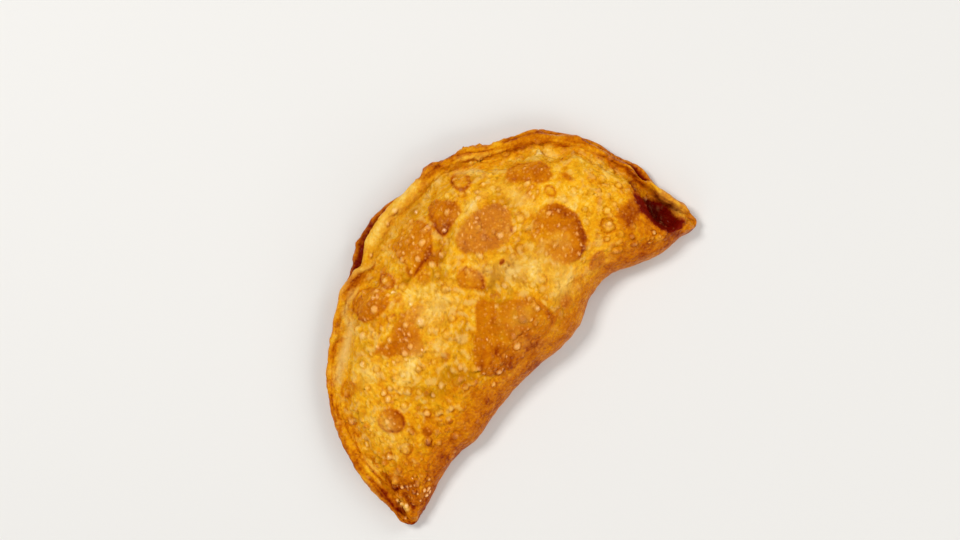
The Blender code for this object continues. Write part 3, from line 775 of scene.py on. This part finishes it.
class Skin:
    """The crust as a grid of points, with the rise and the colour that each point is given."""

    def __init__(self):
        share = column_shares()
        self.place = row_places()
        self.points = folded_sheet(share)
        self.share = share[:, None]
        shape = self.points.shape[:2]
        self.brown = np.full(shape, PLAIN_BROWNING)
        self.rise, self.ringed, self.cream, self.pale, self.blistered, self.olive = np.zeros((6, *shape))
        self.calm = np.ones(shape)
        self.plan = self.points[..., :2].copy()
        self.top = self.band(FOLD_LINE, TOP_START, UPPER_LIP, UPPER_LIP + 0.6)
        self.rim = self.band(VALLEY_START, RIDGE_START, UPPER_LIP, UPPER_LIP + 0.8)
        edge = edge_points(RIM_EDGE, share)
        width = np.linalg.norm(edge - edge_points(FOLD_EDGE, share), axis=-1)
        self.inset = np.linalg.norm(self.plan - edge[:, None], axis=-1)
        self.end_fade = eased(width / TIP_FADE)[:, None]

    def band(self, start, full, last, end):
        """How much of a band each row has: 0 outside start and end, 1 from full to last."""
        return np.interp(self.place, (start, full, last, end), (0.0, 1.0, 1.0, 0.0))[None, :]

    def lighter_than(self, brown):
        """1 where the crust is lighter than the given browning, down to 0 where it is far browner."""
        return 1.0 - eased((self.brown - brown) / 0.20)

    def normals(self):
        """The outward normal at each point, and the area that the point stands for."""
        closed = np.concatenate((self.points[:, -2:-1], self.points, self.points[:, 1:2]), axis=1)
        down = (closed[:, 2:] - closed[:, :-2]) / 2.0
        across = np.gradient(self.points, axis=0)
        normal = np.cross(across, down)
        area = np.linalg.norm(normal, axis=-1)
        return normal / np.maximum(area, 1e-9)[..., None], area

    def raise_points(self):
        """Moves each point out by its rise, and sets the rise back to nothing."""
        normal, _ = self.normals()
        self.points += normal * (self.rise * self.end_fade)[..., None]
        self.points[:, -1] = self.points[:, 0]
        self.rise = np.zeros_like(self.rise)


def swell_top(skin):
    """The broad swells and hollows of the puffed top."""
    for *place, rise in SWELLS:
        skin.rise += skin.top * rise * np.clip(1.0 - oval(skin.plan, *place) ** 2, 0.0, 1.0) ** 2


def press_blisters(skin, height):
    """Blisters: where the top came away from the layer below, it rose and browned first."""
    uneven = layered(skin.points, (0.55, 5.5, 3), (0.25, 2.2, 4))
    mottle = 1.0 + layered(skin.points, (0.14, 4.0, 5), (0.14, 1.8, 6))
    browned = np.zeros_like(skin.brown)
    ringed = np.zeros_like(skin.brown)
    for blister in BLISTERS:
        middle = np.mean(blister.outline, axis=0)
        reach = np.ptp(blister.outline, axis=0).mean() / 2.0
        depth = inward(skin.plan, blister.outline) + uneven * min(1.0, reach / 10.0)
        inside = skin.top * eased(depth / blister.soft + 0.5)
        side = (skin.plan - middle) @ np.array(direction(blister.dark_side))
        lean = 1.0 + blister.lean * np.clip(side / reach, -1.0, 1.0)
        browned = np.maximum(browned, blister.core * inside * lean * mottle)
        ringed = np.maximum(ringed, skin.top * blister.edge * lean * bell(depth - 0.9, 0.8))
        plateau = eased((depth + 1.2) / max(3.2, blister.soft)) * (0.65 + 0.35 * eased(depth / 8.0))
        skin.rise += skin.top * height * blister.rise * (plateau - 0.10 * bell(depth + 1.4, 0.8))
        skin.pale += blister.haze * inside
        skin.blistered = np.maximum(skin.blistered, inside)
    skin.brown += browned + ringed


def draw_strokes(skin):
    """Creases, ridges and the pale and dark lines beside the rim."""
    uneven = 1.0 + 0.30 * wander(skin.points, 5.0, 8)
    for stroke in STROKES:
        distance, fade = line_distance(skin.plan, stroke.points)
        amount = skin.top * fade * bell(distance, stroke.half_width * uneven)
        skin.rise += stroke.rise * amount
        skin.brown += stroke.brown * amount
        skin.pale += stroke.pale * amount


def tint_top(skin):
    """Broad paler and browner stretches of the top, and unevenness all over."""
    patchy = 1.0 + layered(skin.points, (0.5, 4.0, 15), (0.4, 1.8, 16))
    for tint in TINTS:
        reach = oval(skin.plan, tint.x, tint.y, tint.length, tint.width, tint.turn)
        amount = skin.top * bell(reach, 0.85)
        skin.brown += tint.brown * amount
        skin.pale += tint.pale * amount * patchy
        skin.olive += tint.olive * amount * patchy
    uneven = layered(skin.points, (0.09, 11.0, 12), (0.06, 4.5, 13), (0.05, 2.1, 14))
    streaks = skin.points @ np.array(((0.16, -0.38, 0.0), (0.14, 0.44, 0.0), (0.0, 0.0, 0.5)))
    uneven += 0.09 * skin.top * wander(streaks, 1.4, 17)
    skin.brown += uneven * (1.0 - 0.4 * skin.blistered)


def brown_bands(skin):
    """Browning that follows the fold, the rim, the seam and the underside, and painted shade in the gaps.
    """
    for brown, *places in BROWN_BANDS:
        skin.brown += brown * skin.band(*places)
    fold_depth = skin.plan[..., 1] - np.interp(skin.plan[..., 0], *np.array(FOLD_EDGE).T)
    skin.brown += 0.10 * skin.top * eased(1.0 - fold_depth / 9.0)
    # Painted shade: the gaps where the lower layer lies under the upper one are darker, most at the two
    # wide gaps, and the tips browner.
    above_gap = skin.band(UPPER_LIP + 0.4, UPPER_LIP + 0.7, AFTER_SEAM, AFTER_SEAM + 1)
    gap = np.maximum(skin.band(BEFORE_SEAM, 0, 0.6, 1.1), above_gap)
    left_gap, right_gap, left_tip, right_tip = [
        bell(skin.share - share, DARK_SPREAD) for share in (LEFT_GAP, RIGHT_GAP, 0.0, 1.0)
    ]
    skin.brown += gap * (0.18 + 0.44 * left_gap + 0.34 * right_gap) + 0.16 * left_tip + 0.12 * right_tip
    lip = bell(skin.place - 1.1, 0.45) * np.clip(along(LOWER_REACH, skin.share) / 4.0, 0.0, 1.0)
    skin.rise += 0.9 * lip
    skin.brown -= 0.34 * lip * bell(skin.share - TIP_LIP, 0.06)


def draw_strands(skin):
    """The rim's long creases, left where the layers were pinched and pulled along."""
    lengthwise = skin.share * np.ones_like(skin.inset) * RIM_LENGTH
    spread = np.stack((lengthwise / 18.0, skin.inset / 1.7, np.zeros_like(skin.inset)), -1)
    strand = wander(spread, 1.0, 41)
    on_rim = skin.band(SLOPE_START + 1.6, VALLEY_START + 0.5, UPPER_LIP, UPPER_LIP + 0.6)
    strength = along(STRAND_STRENGTH, skin.share) * on_rim
    crease = bell(strand, 0.14)
    skin.rise += strength * (0.75 * strand - 0.50 * crease)
    skin.brown += strength * (0.15 * crease - 0.10 * strand)


def sink_pocket(skin):
    """The pocket: deep, and dark inside, mostly with painted shade."""
    depth = inward(skin.plan, POCKET) + 0.7 * wander(skin.points, 3.0, 31)
    above_seam = skin.band(TOP_START, TOP_START + 0.5, UPPER_LIP - 0.8, UPPER_LIP - 0.4)
    skin.calm = 1.0 - above_seam * eased((depth + 1.0) / 2.0)
    skin.points[..., 2] -= POCKET_DEPTH * above_seam * eased(depth / 4.0)
    # Painted shade: the pocket's hollow is darkened through the browning.
    skin.brown += above_seam * (0.45 * eased((depth + 1.8) / 3.0) + 0.60 * eased(depth / 3.4))


def roughness(skin):
    """How rough the dough is: less on blisters, in the pocket and on the rim, and most on the left."""
    rough = skin.top * skin.calm * (1.0 - 0.4 * skin.blistered) * (1.0 - 0.6 * skin.rim)
    rough *= 1.0 + 0.35 * eased((ROUGH_LEFT[0] - skin.plan[..., 0]) / ROUGH_LEFT[1])
    rough *= 1.0 - 0.75 * bell(oval(skin.plan, *SMOOTH_VALLEY), 0.9)
    return rough * (1.0 + 0.35 * bell(oval(skin.plan, *WRINKLED_MIDDLE), 1.0))


def roughen(skin):
    """The unevenness of fried dough: soft swells, slanted ripples, lumps and wrinkles, with painted light
    and shade on the lumps and wrinkles.
    """
    rough = roughness(skin)
    slanted = skin.points @ np.array(((0.75, -0.62, 0.0), (0.30, 0.42, 0.0), (0.0, 0.0, 0.8)))
    skin.rise += 0.40 * wander(skin.points, 8.5, 21) * skin.top
    skin.rise += 0.26 * wander(skin.points, 3.8, 22)
    skin.rise += 0.14 * wander(skin.points, 1.9, 23) + 0.26 * rough * wander(slanted, 1.5, 25)
    swirl = np.array((1.0, -1.0, 0.5)) * 2.0 * wander(skin.points, 4.5, 27)[..., None]
    lump = wander(skin.points + swirl, 2.1, 28)
    skin.rise += 0.42 * rough * lump
    # Painted highlight on the tops of the lumps, and painted shade in their hollows.
    skin.pale += 0.34 * rough * eased(3.2 * lump - 0.7) * skin.lighter_than(0.45)
    skin.olive += 0.24 * rough * eased(-3.2 * lump - 0.7)
    wrinkle = bell(wander(skin.points + 1.2 * skin.rise[..., None], 3.4, 26), 0.10)
    skin.rise -= 0.46 * rough * wrinkle
    # The wrinkles turn olive: painted shade.
    skin.olive += 0.12 * rough * wrinkle


def fray_rim(skin):
    """The rim's coarser unevenness, most where it is crimped, and the frayed edges of its layers."""
    crimped = np.maximum(bell(skin.share - CRIMP, 0.08), 0.4 * bell(skin.share, 0.08))
    skin.rise += skin.rim * (0.10 + 0.80 * crimped) * wander(skin.points, 3.0, 24)
    skin.rise += skin.rim * 0.55 * crimped * wander(skin.points, 1.5, 30)
    upper_edge = skin.band(RIDGE_CREST + 0.4, UPPER_LIP, UPPER_LIP + 0.4, UPPER_LIP + 0.8)
    lower_edge = skin.band(0.2, 0.8, 1.6, LOWER_LIP_END + 0.6)
    frayed = upper_edge * bell(skin.share - CRIMP, 0.07) + lower_edge * bell(skin.share - FRAY, 0.05)
    skin.rise -= 1.5 * frayed * eased(1.8 * wander(skin.points, 4.2, 32) + 0.3)
    skin.rise += 0.9 * frayed * wander(skin.points, 1.7, 33)
    skin.brown += 0.16 * frayed * wander(skin.points, 2.4, 34)


def raise_bubble(skin, wobble, centre, radius, cap, ring, cream):
    """One small bubble: a dome, uneven by its wobble, its groove darker with browning and painted shade,
    its cream cap partly a painted highlight.
    """
    reach = np.linalg.norm(skin.points - centre, axis=-1) / radius
    near = reach < 2.0
    wobble = wobble[near]
    reach = reach[near] * (1.0 + 0.22 * wobble)
    dome = np.clip(1.0 - reach**2, 0.0, 1.0) ** 0.8
    lift = radius * (0.25 + 0.75 * (skin.top * np.ones_like(skin.rise))[near])
    skin.rise[near] += lift * (0.62 * dome - 0.20 * bell(reach - 1.10, 0.16))
    skin.brown[near] += cap * eased((0.95 - reach) / 0.40)
    groove = ring * bell(reach - 1.02, 0.20) * (1.0 - 0.5 * wobble)
    skin.ringed[near] = np.maximum(skin.ringed[near], groove)
    skin.cream[near] = np.maximum(skin.cream[near], cream * eased((0.85 - reach) / 0.55))


def raise_bubbles(skin, settings):
    """Small bubbles: the listed ones, and the ones scattered over the whole crust."""
    wobble = wander(skin.points, 1.7, 29)
    on_top = (skin.place > FOLD_LINE + 1.0) & (skin.place < RIDGE_CREST + 0.5)
    top_points = skin.points[:, on_top].reshape(-1, 3)
    for *looks, bubbles in BUBBLES:
        for x, y, radius in bubbles:
            nearest = np.argmin(np.hypot(top_points[:, 0] - x, top_points[:, 1] - y))
            raise_bubble(skin, wobble, top_points[nearest], radius, *looks)
    dice = np.random.default_rng(SCATTER_SEED)
    _, area = skin.normals()
    on_edge = skin.band(RIDGE_START, RIDGE_CREST, SEAM_END - 0.5, SEAM_END)
    chance = area * (0.25 + 0.75 * skin.top) * (1.0 - on_edge) * skin.end_fade
    odds = (chance / chance.sum()).ravel()
    spots = dice.choice(area.size, settings.bubble_count, replace=False, p=odds)
    smallest = settings.bubble_smallest / MM
    largest = settings.bubble_largest / MM
    for centre in skin.points.reshape(-1, 3)[spots]:
        radius = smallest + (largest - smallest) * dice.random() ** SMALL_BIAS
        looks = [dice.uniform(*limits) for limits in SCATTERED_LOOKS]
        raise_bubble(skin, wobble, centre, radius, *looks)
    # The rings darken the grooves round the bubbles, partly browning and partly painted shade, olive on
    # plain dough.
    skin.brown += 0.70 * skin.ringed * skin.calm * (1.0 - 0.6 * skin.blistered)
    skin.olive += 1.3 * skin.ringed * (1.0 - skin.blistered)
    skin.olive *= skin.lighter_than(0.55)
    skin.pale *= skin.lighter_than(0.70)


def fit_to_box(points, low, high):
    """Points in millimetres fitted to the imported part's box, in metres."""
    points = points.copy()
    points[..., 2] = np.maximum(points[..., 2], 0.0)
    floor = points.reshape(-1, 3).min(axis=0)
    span = points.reshape(-1, 3).max(axis=0) - floor
    return np.array(low) + (points - floor) / span * (np.array(high) - np.array(low))


def grid_mesh(name, points, fields):
    """A closed mesh from a grid of points, with a float attribute for each field."""
    columns, rows = points.shape[:2]
    sheet = bmesh.new()
    bmesh.ops.create_grid(sheet, x_segments=columns - 1, y_segments=rows - 1, size=0.5)
    layers = {key: sheet.verts.layers.float.new(key) for key in fields}
    for vertex in sheet.verts:
        column = round((vertex.co.x + 0.5) * (columns - 1))
        row = round((vertex.co.y + 0.5) * (rows - 1))
        vertex.co = points[column, row]
        for key, layer in layers.items():
            vertex[layer] = fields[key][column, row]
    bmesh.ops.remove_doubles(sheet, verts=sheet.verts, dist=WELD_DISTANCE)
    bmesh.ops.recalc_face_normals(sheet, faces=sheet.faces)
    mesh = bpy.data.meshes.new(name)
    sheet.to_mesh(mesh)
    sheet.free()
    mesh.shade_smooth()
    return mesh


# Materials ----------------------------------------

def add(tree, kind, settings=(), links=()):
    """Adds a node, sets its properties and sockets, and links its inputs.

    A link comes from an output, or from a node, which stands for its first output.
    """
    node = tree.nodes.new("ShaderNode" + kind)
    for name, value in dict(settings).items():
        if isinstance(name, int) or name in node.inputs:
            node.inputs[name].default_value = value
        else:
            setattr(node, name, value)
    for name, source in dict(links).items():
        output = source.outputs[0] if isinstance(source, bpy.types.Node) else source
        tree.links.new(output, node.inputs[name])
    return node


def new_material(name):
    """An empty node material."""
    material = bpy.data.materials.new(name)
    material.use_nodes = True
    material.node_tree.nodes.clear()
    return material


def dots(tree, where, spacing, inner, outer):
    """Round dots that fade from the inner to the outer share of their spacing, and their cells."""
    cells = add(tree, "TexVoronoi", {"Scale": 1.0 / spacing}, {"Vector": where})
    fade = {"From Min": inner, "From Max": outer, "To Min": 1.0, "To Max": 0.0}
    return add(tree, "MapRange", fade, {"Value": cells}), cells


def fried_dough(settings):
    """Thin unleavened dough fried in oil: golden and blistered brown, with pores and a film of oil."""
    material = new_material("fried dough")
    tree = material.node_tree
    where = add(tree, "TexCoord").outputs["Object"]
    brown, pale, cream, blistered, olive = [
        add(tree, "Attribute", {"attribute_name": name}).outputs["Fac"] for name in FIELDS
    ]
    mottle = add(
        tree, "TexNoise", {"Scale": 1.0 / settings.mottle_size, "Detail": 4.0, "Roughness": 0.58},
        {"Vector": where},
    )
    grain = add(
        tree, "TexNoise", {"Scale": 1.0 / settings.grain_size, "Detail": 2.0, "Roughness": 0.55},
        {"Vector": where},
    )
    pore, cells = dots(tree, where, settings.pore_spacing, 0.10, 0.26)
    pick = add(tree, "SeparateColor", {}, {"Color": cells.outputs["Color"]})
    depth = add(tree, "MapRange", {"From Min": 0.35, "From Max": 1.0}, {"Value": pick})
    pore = add(tree, "Math", {"operation": "MULTIPLY"}, {0: pore, 1: depth})
    # Light flecks on the blisters, partly painted highlights.
    fleck, _ = dots(tree, where, settings.fleck_spacing, 0.12, 0.34)
    fleck = add(tree, "Math", {"operation": "MULTIPLY"}, {0: fleck, 1: blistered})
    creamy = add(
        tree, "Math", {"operation": "MULTIPLY_ADD", 1: 0.14, "use_clamp": True}, {0: fleck, 2: cream}
    )
    uneven = add(tree, "Math", {"operation": "MULTIPLY_ADD", 1: 1.1, 2: -1.1}, {0: mottle})
    uneven = add(tree, "Math", {"operation": "MULTIPLY_ADD", 1: 1.1}, {0: grain, 2: uneven})
    amount = add(tree, "MapRange", {"To Min": 0.40, "To Max": 0.20}, {"Value": blistered})
    shade = add(tree, "Math", {"operation": "MULTIPLY_ADD"}, {0: uneven, 1: amount, 2: brown})
    for source, amount in ((pore, 0.04), (fleck, -0.08)):
        shade = add(tree, "Math", {"operation": "MULTIPLY_ADD", 1: amount}, {0: source, 2: shade})
    colour = add(tree, "ValToRGB", {}, {"Fac": shade})
    stops = (
        (0.00, settings.pale_crust), (0.18, settings.straw_crust), (0.34, settings.golden_crust),
        (0.50, settings.amber_crust), (0.62, settings.toasted_crust), (0.74, settings.brown_crust),
        (0.86, settings.dark_crust), (1.00, settings.deep_shade_crust),
    )
    elements = colour.color_ramp.elements
    while len(elements) < len(stops):
        elements.new(0.5)
    for element, (position, stop_colour) in zip(elements, stops):
        element.position = position
        element.color = stop_colour
    # The olive, pale and cream tints carry painted shade and highlights besides the crust's colours.
    tints = ((olive, settings.olive_crust), (pale, settings.doughy_and_highlight_crust), (creamy, settings.bubble_cap_and_highlight_crust))
    for share, tint in tints:
        colour = add(tree, "Mix", {"data_type": "RGBA", 7: tint}, {0: share, 6: colour}).outputs[2]
    film = {"From Min": 0.74, "From Max": 0.92, "To Min": settings.oil_film, "To Max": 0.02}
    oil = add(tree, "MapRange", film, {"Value": shade})
    gloss = add(tree, "Math", {"operation": "MULTIPLY_ADD", 1: 0.9}, {0: cream, 2: oil})
    roughness = add(tree, "MapRange", {"To Min": 0.24, "To Max": 0.44}, {"Value": mottle})
    height = add(tree, "Math", {"operation": "MULTIPLY_ADD", 1: -0.4}, {0: pore, 2: grain})
    bump = add(tree, "Bump", {"Strength": 0.8, "Distance": 0.0011}, {"Height": height})
    shader = add(
        tree, "BsdfPrincipled",
        {
            "IOR": 1.45, "Specular IOR Level": 0.10, "Specular Tint": settings.oil_colour,
            "Coat Roughness": 0.12, "Coat IOR": 1.47, "Subsurface Weight": 0.04,
            "Subsurface Radius": (1.0, 0.45, 0.12), "Subsurface Scale": 0.002,
        },
        {"Base Color": colour, "Roughness": roughness, "Normal": bump, "Coat Weight": gloss},
    )
    add(tree, "OutputMaterial", {}, {"Surface": shader})
    return material


def matt_board(colour):
    """Painted board: a matt white that shows soft shadows and no gloss."""
    material = new_material("matt painted board")
    tree = material.node_tree
    look = {"Base Color": colour, "Roughness": 0.85, "Specular IOR Level": 0.2}
    add(tree, "OutputMaterial", {}, {"Surface": add(tree, "BsdfPrincipled", look)})
    return material


# Settings -----------------------------------------

def colour_setting(name, description, colour):
    """A colour with its sRGB hex value as the default."""
    return FloatVectorProperty(
        name=name, description=description, default=linear(colour), size=4, min=0.0, max=1.0,
        subtype="COLOR",
    )


def length_setting(name, description, millimetres):
    """A length with its default in millimetres."""
    return FloatProperty(
        name=name, description=description, default=millimetres * MM, min=0.0, precision=5,
        unit="LENGTH",
    )


def power_setting(name, description, power):
    """A lamp's power."""
    return FloatProperty(name=name, description=description, default=power, min=0.0, unit="POWER")


class CheburekCrustSettings(PropertyGroup):
    """Sizes and colours of the crust."""

    blister_height: FloatProperty(
        name="Blister height", description="Height of the blisters, as a share of their usual height",
        default=1.0, min=0.0, max=2.0, subtype="FACTOR",
    )
    bubble_count: IntProperty(
        name="Bubbles", description="Number of small bubbles scattered over the crust", min=0,
        default=1200,
    )
    bubble_smallest: length_setting("Smallest bubble", "Radius of the smallest scattered bubble", 0.6)
    bubble_largest: length_setting("Largest bubble", "Radius of the largest scattered bubble", 2.1)
    mottle_size: length_setting("Mottle", "Width of the uneven patches of browning", 7.0)
    grain_size: length_setting("Grain", "Width of the finest unevenness", 1.4)
    pore_spacing: length_setting("Pores", "Distance from one dark pore to the next", 2.6)
    # The light flecks are partly painted highlights.
    fleck_spacing: length_setting("Flecks", "Distance between the light flecks on a blister", 2.2)
    oil_film: FloatProperty(
        name="Oil film", description="How much of the crust is glossy with oil", default=0.03,
        min=0.0, max=1.0, subtype="FACTOR",
    )
    oil_colour: colour_setting("Oil", "Light that the oil in the crust gives back", "#FFB45A")
    # Olive: dough that soaked up oil, and painted shade in hollows, wrinkles and bubble grooves.
    olive_crust: colour_setting("Oily", "Dough that soaked up oil without browning", "#B87600")
    # Doughy: pale dough where oil hardly reached, and the painted highlights on lumps and ridges.
    doughy_and_highlight_crust: colour_setting("Doughy", "Where oil hardly reached the dough", "#EABC64")
    # Bubbles: the thin caps, partly painted highlights, and wholly the painted glints by the left tip.
    bubble_cap_and_highlight_crust: colour_setting("Bubbles", "The thin caps of small bubbles", "#FFC079")
    pale_crust: colour_setting("Pale", "The lightest crust", "#FCDD9C")
    straw_crust: colour_setting("Straw", "Light crust", "#F8CA58")
    golden_crust: colour_setting("Golden", "Most of the crust", "#F0AE1C")
    amber_crust: colour_setting("Amber", "Crust round the blisters", "#E2930A")
    toasted_crust: colour_setting("Toasted", "Blisters", "#CE7604")
    brown_crust: colour_setting("Brown", "The fold and the darkest blisters", "#B85E02")
    # Dark: the seam and the gaps between the layers, partly browning and partly painted shade.
    dark_crust: colour_setting("Dark", "The seam between the layers", "#943A00")
    # The darkest crust is painted shade: inside the pocket and deepest in the gaps between the layers.
    deep_shade_crust: colour_setting("Scorched", "Inside the pocket", "#6E0901")


class CheburekStageSettings(PropertyGroup):
    """The floor, the camera's place and the lights."""

    floor_width: length_setting("Floor", "Width of the floor", 4000.0)
    floor_colour: colour_setting("Floor colour", "Colour of the floor", "#E2E0DC")
    camera_height: length_setting("Camera height", "Height of the camera over the floor", 900.0)
    view_width: length_setting("View width", "Width of the view at the height of the rim", 462.7)
    rim_height: length_setting("Rim height", "Height over the floor where the view has its width", 8.0)
    view_x: length_setting("View X", "Place of the middle of the view along X", 11.6)
    view_y: length_setting("View Y", "Place of the middle of the view along Y", 3.3)
    view_turn: FloatProperty(
        name="View turn", description="Turn of the view about the vertical", subtype="ANGLE",
        default=math.radians(-46.46),
    )
    key_power: power_setting("Key light", "Power of the main light", 12.8)
    fill_power: power_setting("Fill lights", "Power of a fill light, before its own share", 2.7)
    sky: FloatProperty(
        name="Sky", description="Strength of the light from all around", default=0.30, min=0.0
    )


# Operators ----------------------------------------

def link_object(name, data):
    """An object for the data, in the scene."""
    item = bpy.data.objects.new(name, data)
    bpy.context.scene.collection.objects.link(item)
    return item


class CHEBUREK_OT_crust(Operator):
    """Makes the blistered crust, in the place of the plain folded solid"""

    bl_idname = "cheburek.crust"
    bl_label = "Fried crust"

    def execute(self, context):
        settings = context.scene.cheburek_crust
        skin = Skin()
        swell_top(skin)
        press_blisters(skin, settings.blister_height)
        draw_strokes(skin)
        tint_top(skin)
        brown_bands(skin)
        draw_strands(skin)
        skin.raise_points()
        sink_pocket(skin)
        roughen(skin)
        fray_rim(skin)
        raise_bubbles(skin, settings)
        skin.raise_points()
        fields = dict(zip(FIELDS, (skin.brown, skin.pale, skin.cream, skin.blistered, skin.olive)))
        for name, field in fields.items():
            field[:, -1] = field[:, 0]
            fields[name] = np.clip(field, 0.0, MOST_BROWNING if name == "browning" else 1.0)
        points = fit_to_box(skin.points, *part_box(NODE))
        crust = link_object("fried_crust", grid_mesh("fried_crust", points, fields))
        crust.data.materials.append(fried_dough(settings))
        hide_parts(NODE)
        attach(crust, BODY)
        return {"FINISHED"}


def aim(item, place, target):
    """Puts a light at a place and points it at a target."""
    item.location = place
    item.rotation_euler = (Vector(target) - Vector(place)).to_track_quat("-Z", "Y").to_euler()


class CHEBUREK_OT_stage(Operator):
    """Lays the plain floor and sets the soft lights and the camera"""

    bl_idname = "cheburek.stage"
    bl_label = "Stage"

    def execute(self, context):
        settings = context.scene.cheburek_stage
        board = bmesh.new()
        bmesh.ops.create_grid(board, x_segments=1, y_segments=1, size=settings.floor_width / 2.0)
        mesh = bpy.data.meshes.new("floor")
        board.to_mesh(mesh)
        board.free()
        floor = link_object("floor", mesh)
        floor.data.materials.append(matt_board(settings.floor_colour))
        lights = (
            ("key light", (-0.15, 0.78, 1.22), 0.42, settings.key_power),
            ("left fill", (-1.1, -0.3, 0.8), 0.8, 0.7 * settings.fill_power),
            ("right fill", (1.1, -0.2, 0.8), 0.8, 1.9 * settings.fill_power),
            ("front fill", (0.1, -1.1, 0.7), 0.8, 2.2 * settings.fill_power),
        )
        for name, place, size, power in lights:
            light = bpy.data.lights.new(name, "AREA")
            light.size = size
            light.energy = power
            aim(link_object(name, light), place, (0.0, 0.0, 0.0))
        world = bpy.data.worlds.new("sky")
        world.use_nodes = True
        world.node_tree.nodes["Background"].inputs["Color"].default_value = linear("#FFFFFF")
        world.node_tree.nodes["Background"].inputs["Strength"].default_value = settings.sky
        context.scene.world = world
        context.scene.view_settings.view_transform = "Standard"
        lens = bpy.data.cameras.new("camera")
        rim_distance = settings.camera_height - settings.rim_height
        lens.lens = lens.sensor_width * rim_distance / settings.view_width
        camera = link_object("camera", lens)
        camera.location = (settings.view_x, settings.view_y, settings.camera_height)
        camera.rotation_euler = (0.0, 0.0, settings.view_turn)
        context.scene.camera = camera
        return {"FINISHED"}


class CHEBUREK_PT_panel(Panel):
    """Lists the pieces and their settings"""

    bl_idname = "CHEBUREK_PT_panel"
    bl_label = "Cheburek"
    bl_space_type = "VIEW_3D"
    bl_region_type = "UI"
    bl_category = "Cheburek"

    def draw(self, context):
        for operator, group in (
            (CHEBUREK_OT_crust, context.scene.cheburek_crust),
            (CHEBUREK_OT_stage, context.scene.cheburek_stage),
        ):
            box = self.layout.box()
            box.operator(operator.bl_idname)
            for name in group.bl_rna.properties.keys():
                if name not in ("rna_type", "name"):
                    box.prop(group, name)


CLASSES = (
    CheburekCrustSettings,
    CheburekStageSettings,
    CHEBUREK_OT_crust,
    CHEBUREK_OT_stage,
    CHEBUREK_PT_panel,
)


def register():
    for item in CLASSES:
        bpy.utils.register_class(item)
    bpy.types.Scene.cheburek_crust = PointerProperty(type=CheburekCrustSettings)
    bpy.types.Scene.cheburek_stage = PointerProperty(type=CheburekStageSettings)


def unregister():
    del bpy.types.Scene.cheburek_stage
    del bpy.types.Scene.cheburek_crust
    for item in reversed(CLASSES):
        bpy.utils.unregister_class(item)


def corners(bounds):
    """A box's corners as plain lists."""
    return [list(corner) for corner in bounds]


def main():
    register()
    bpy.ops.cheburek.stage()
    bpy.ops.cheburek.crust()


if __name__ == "__main__":
    main()
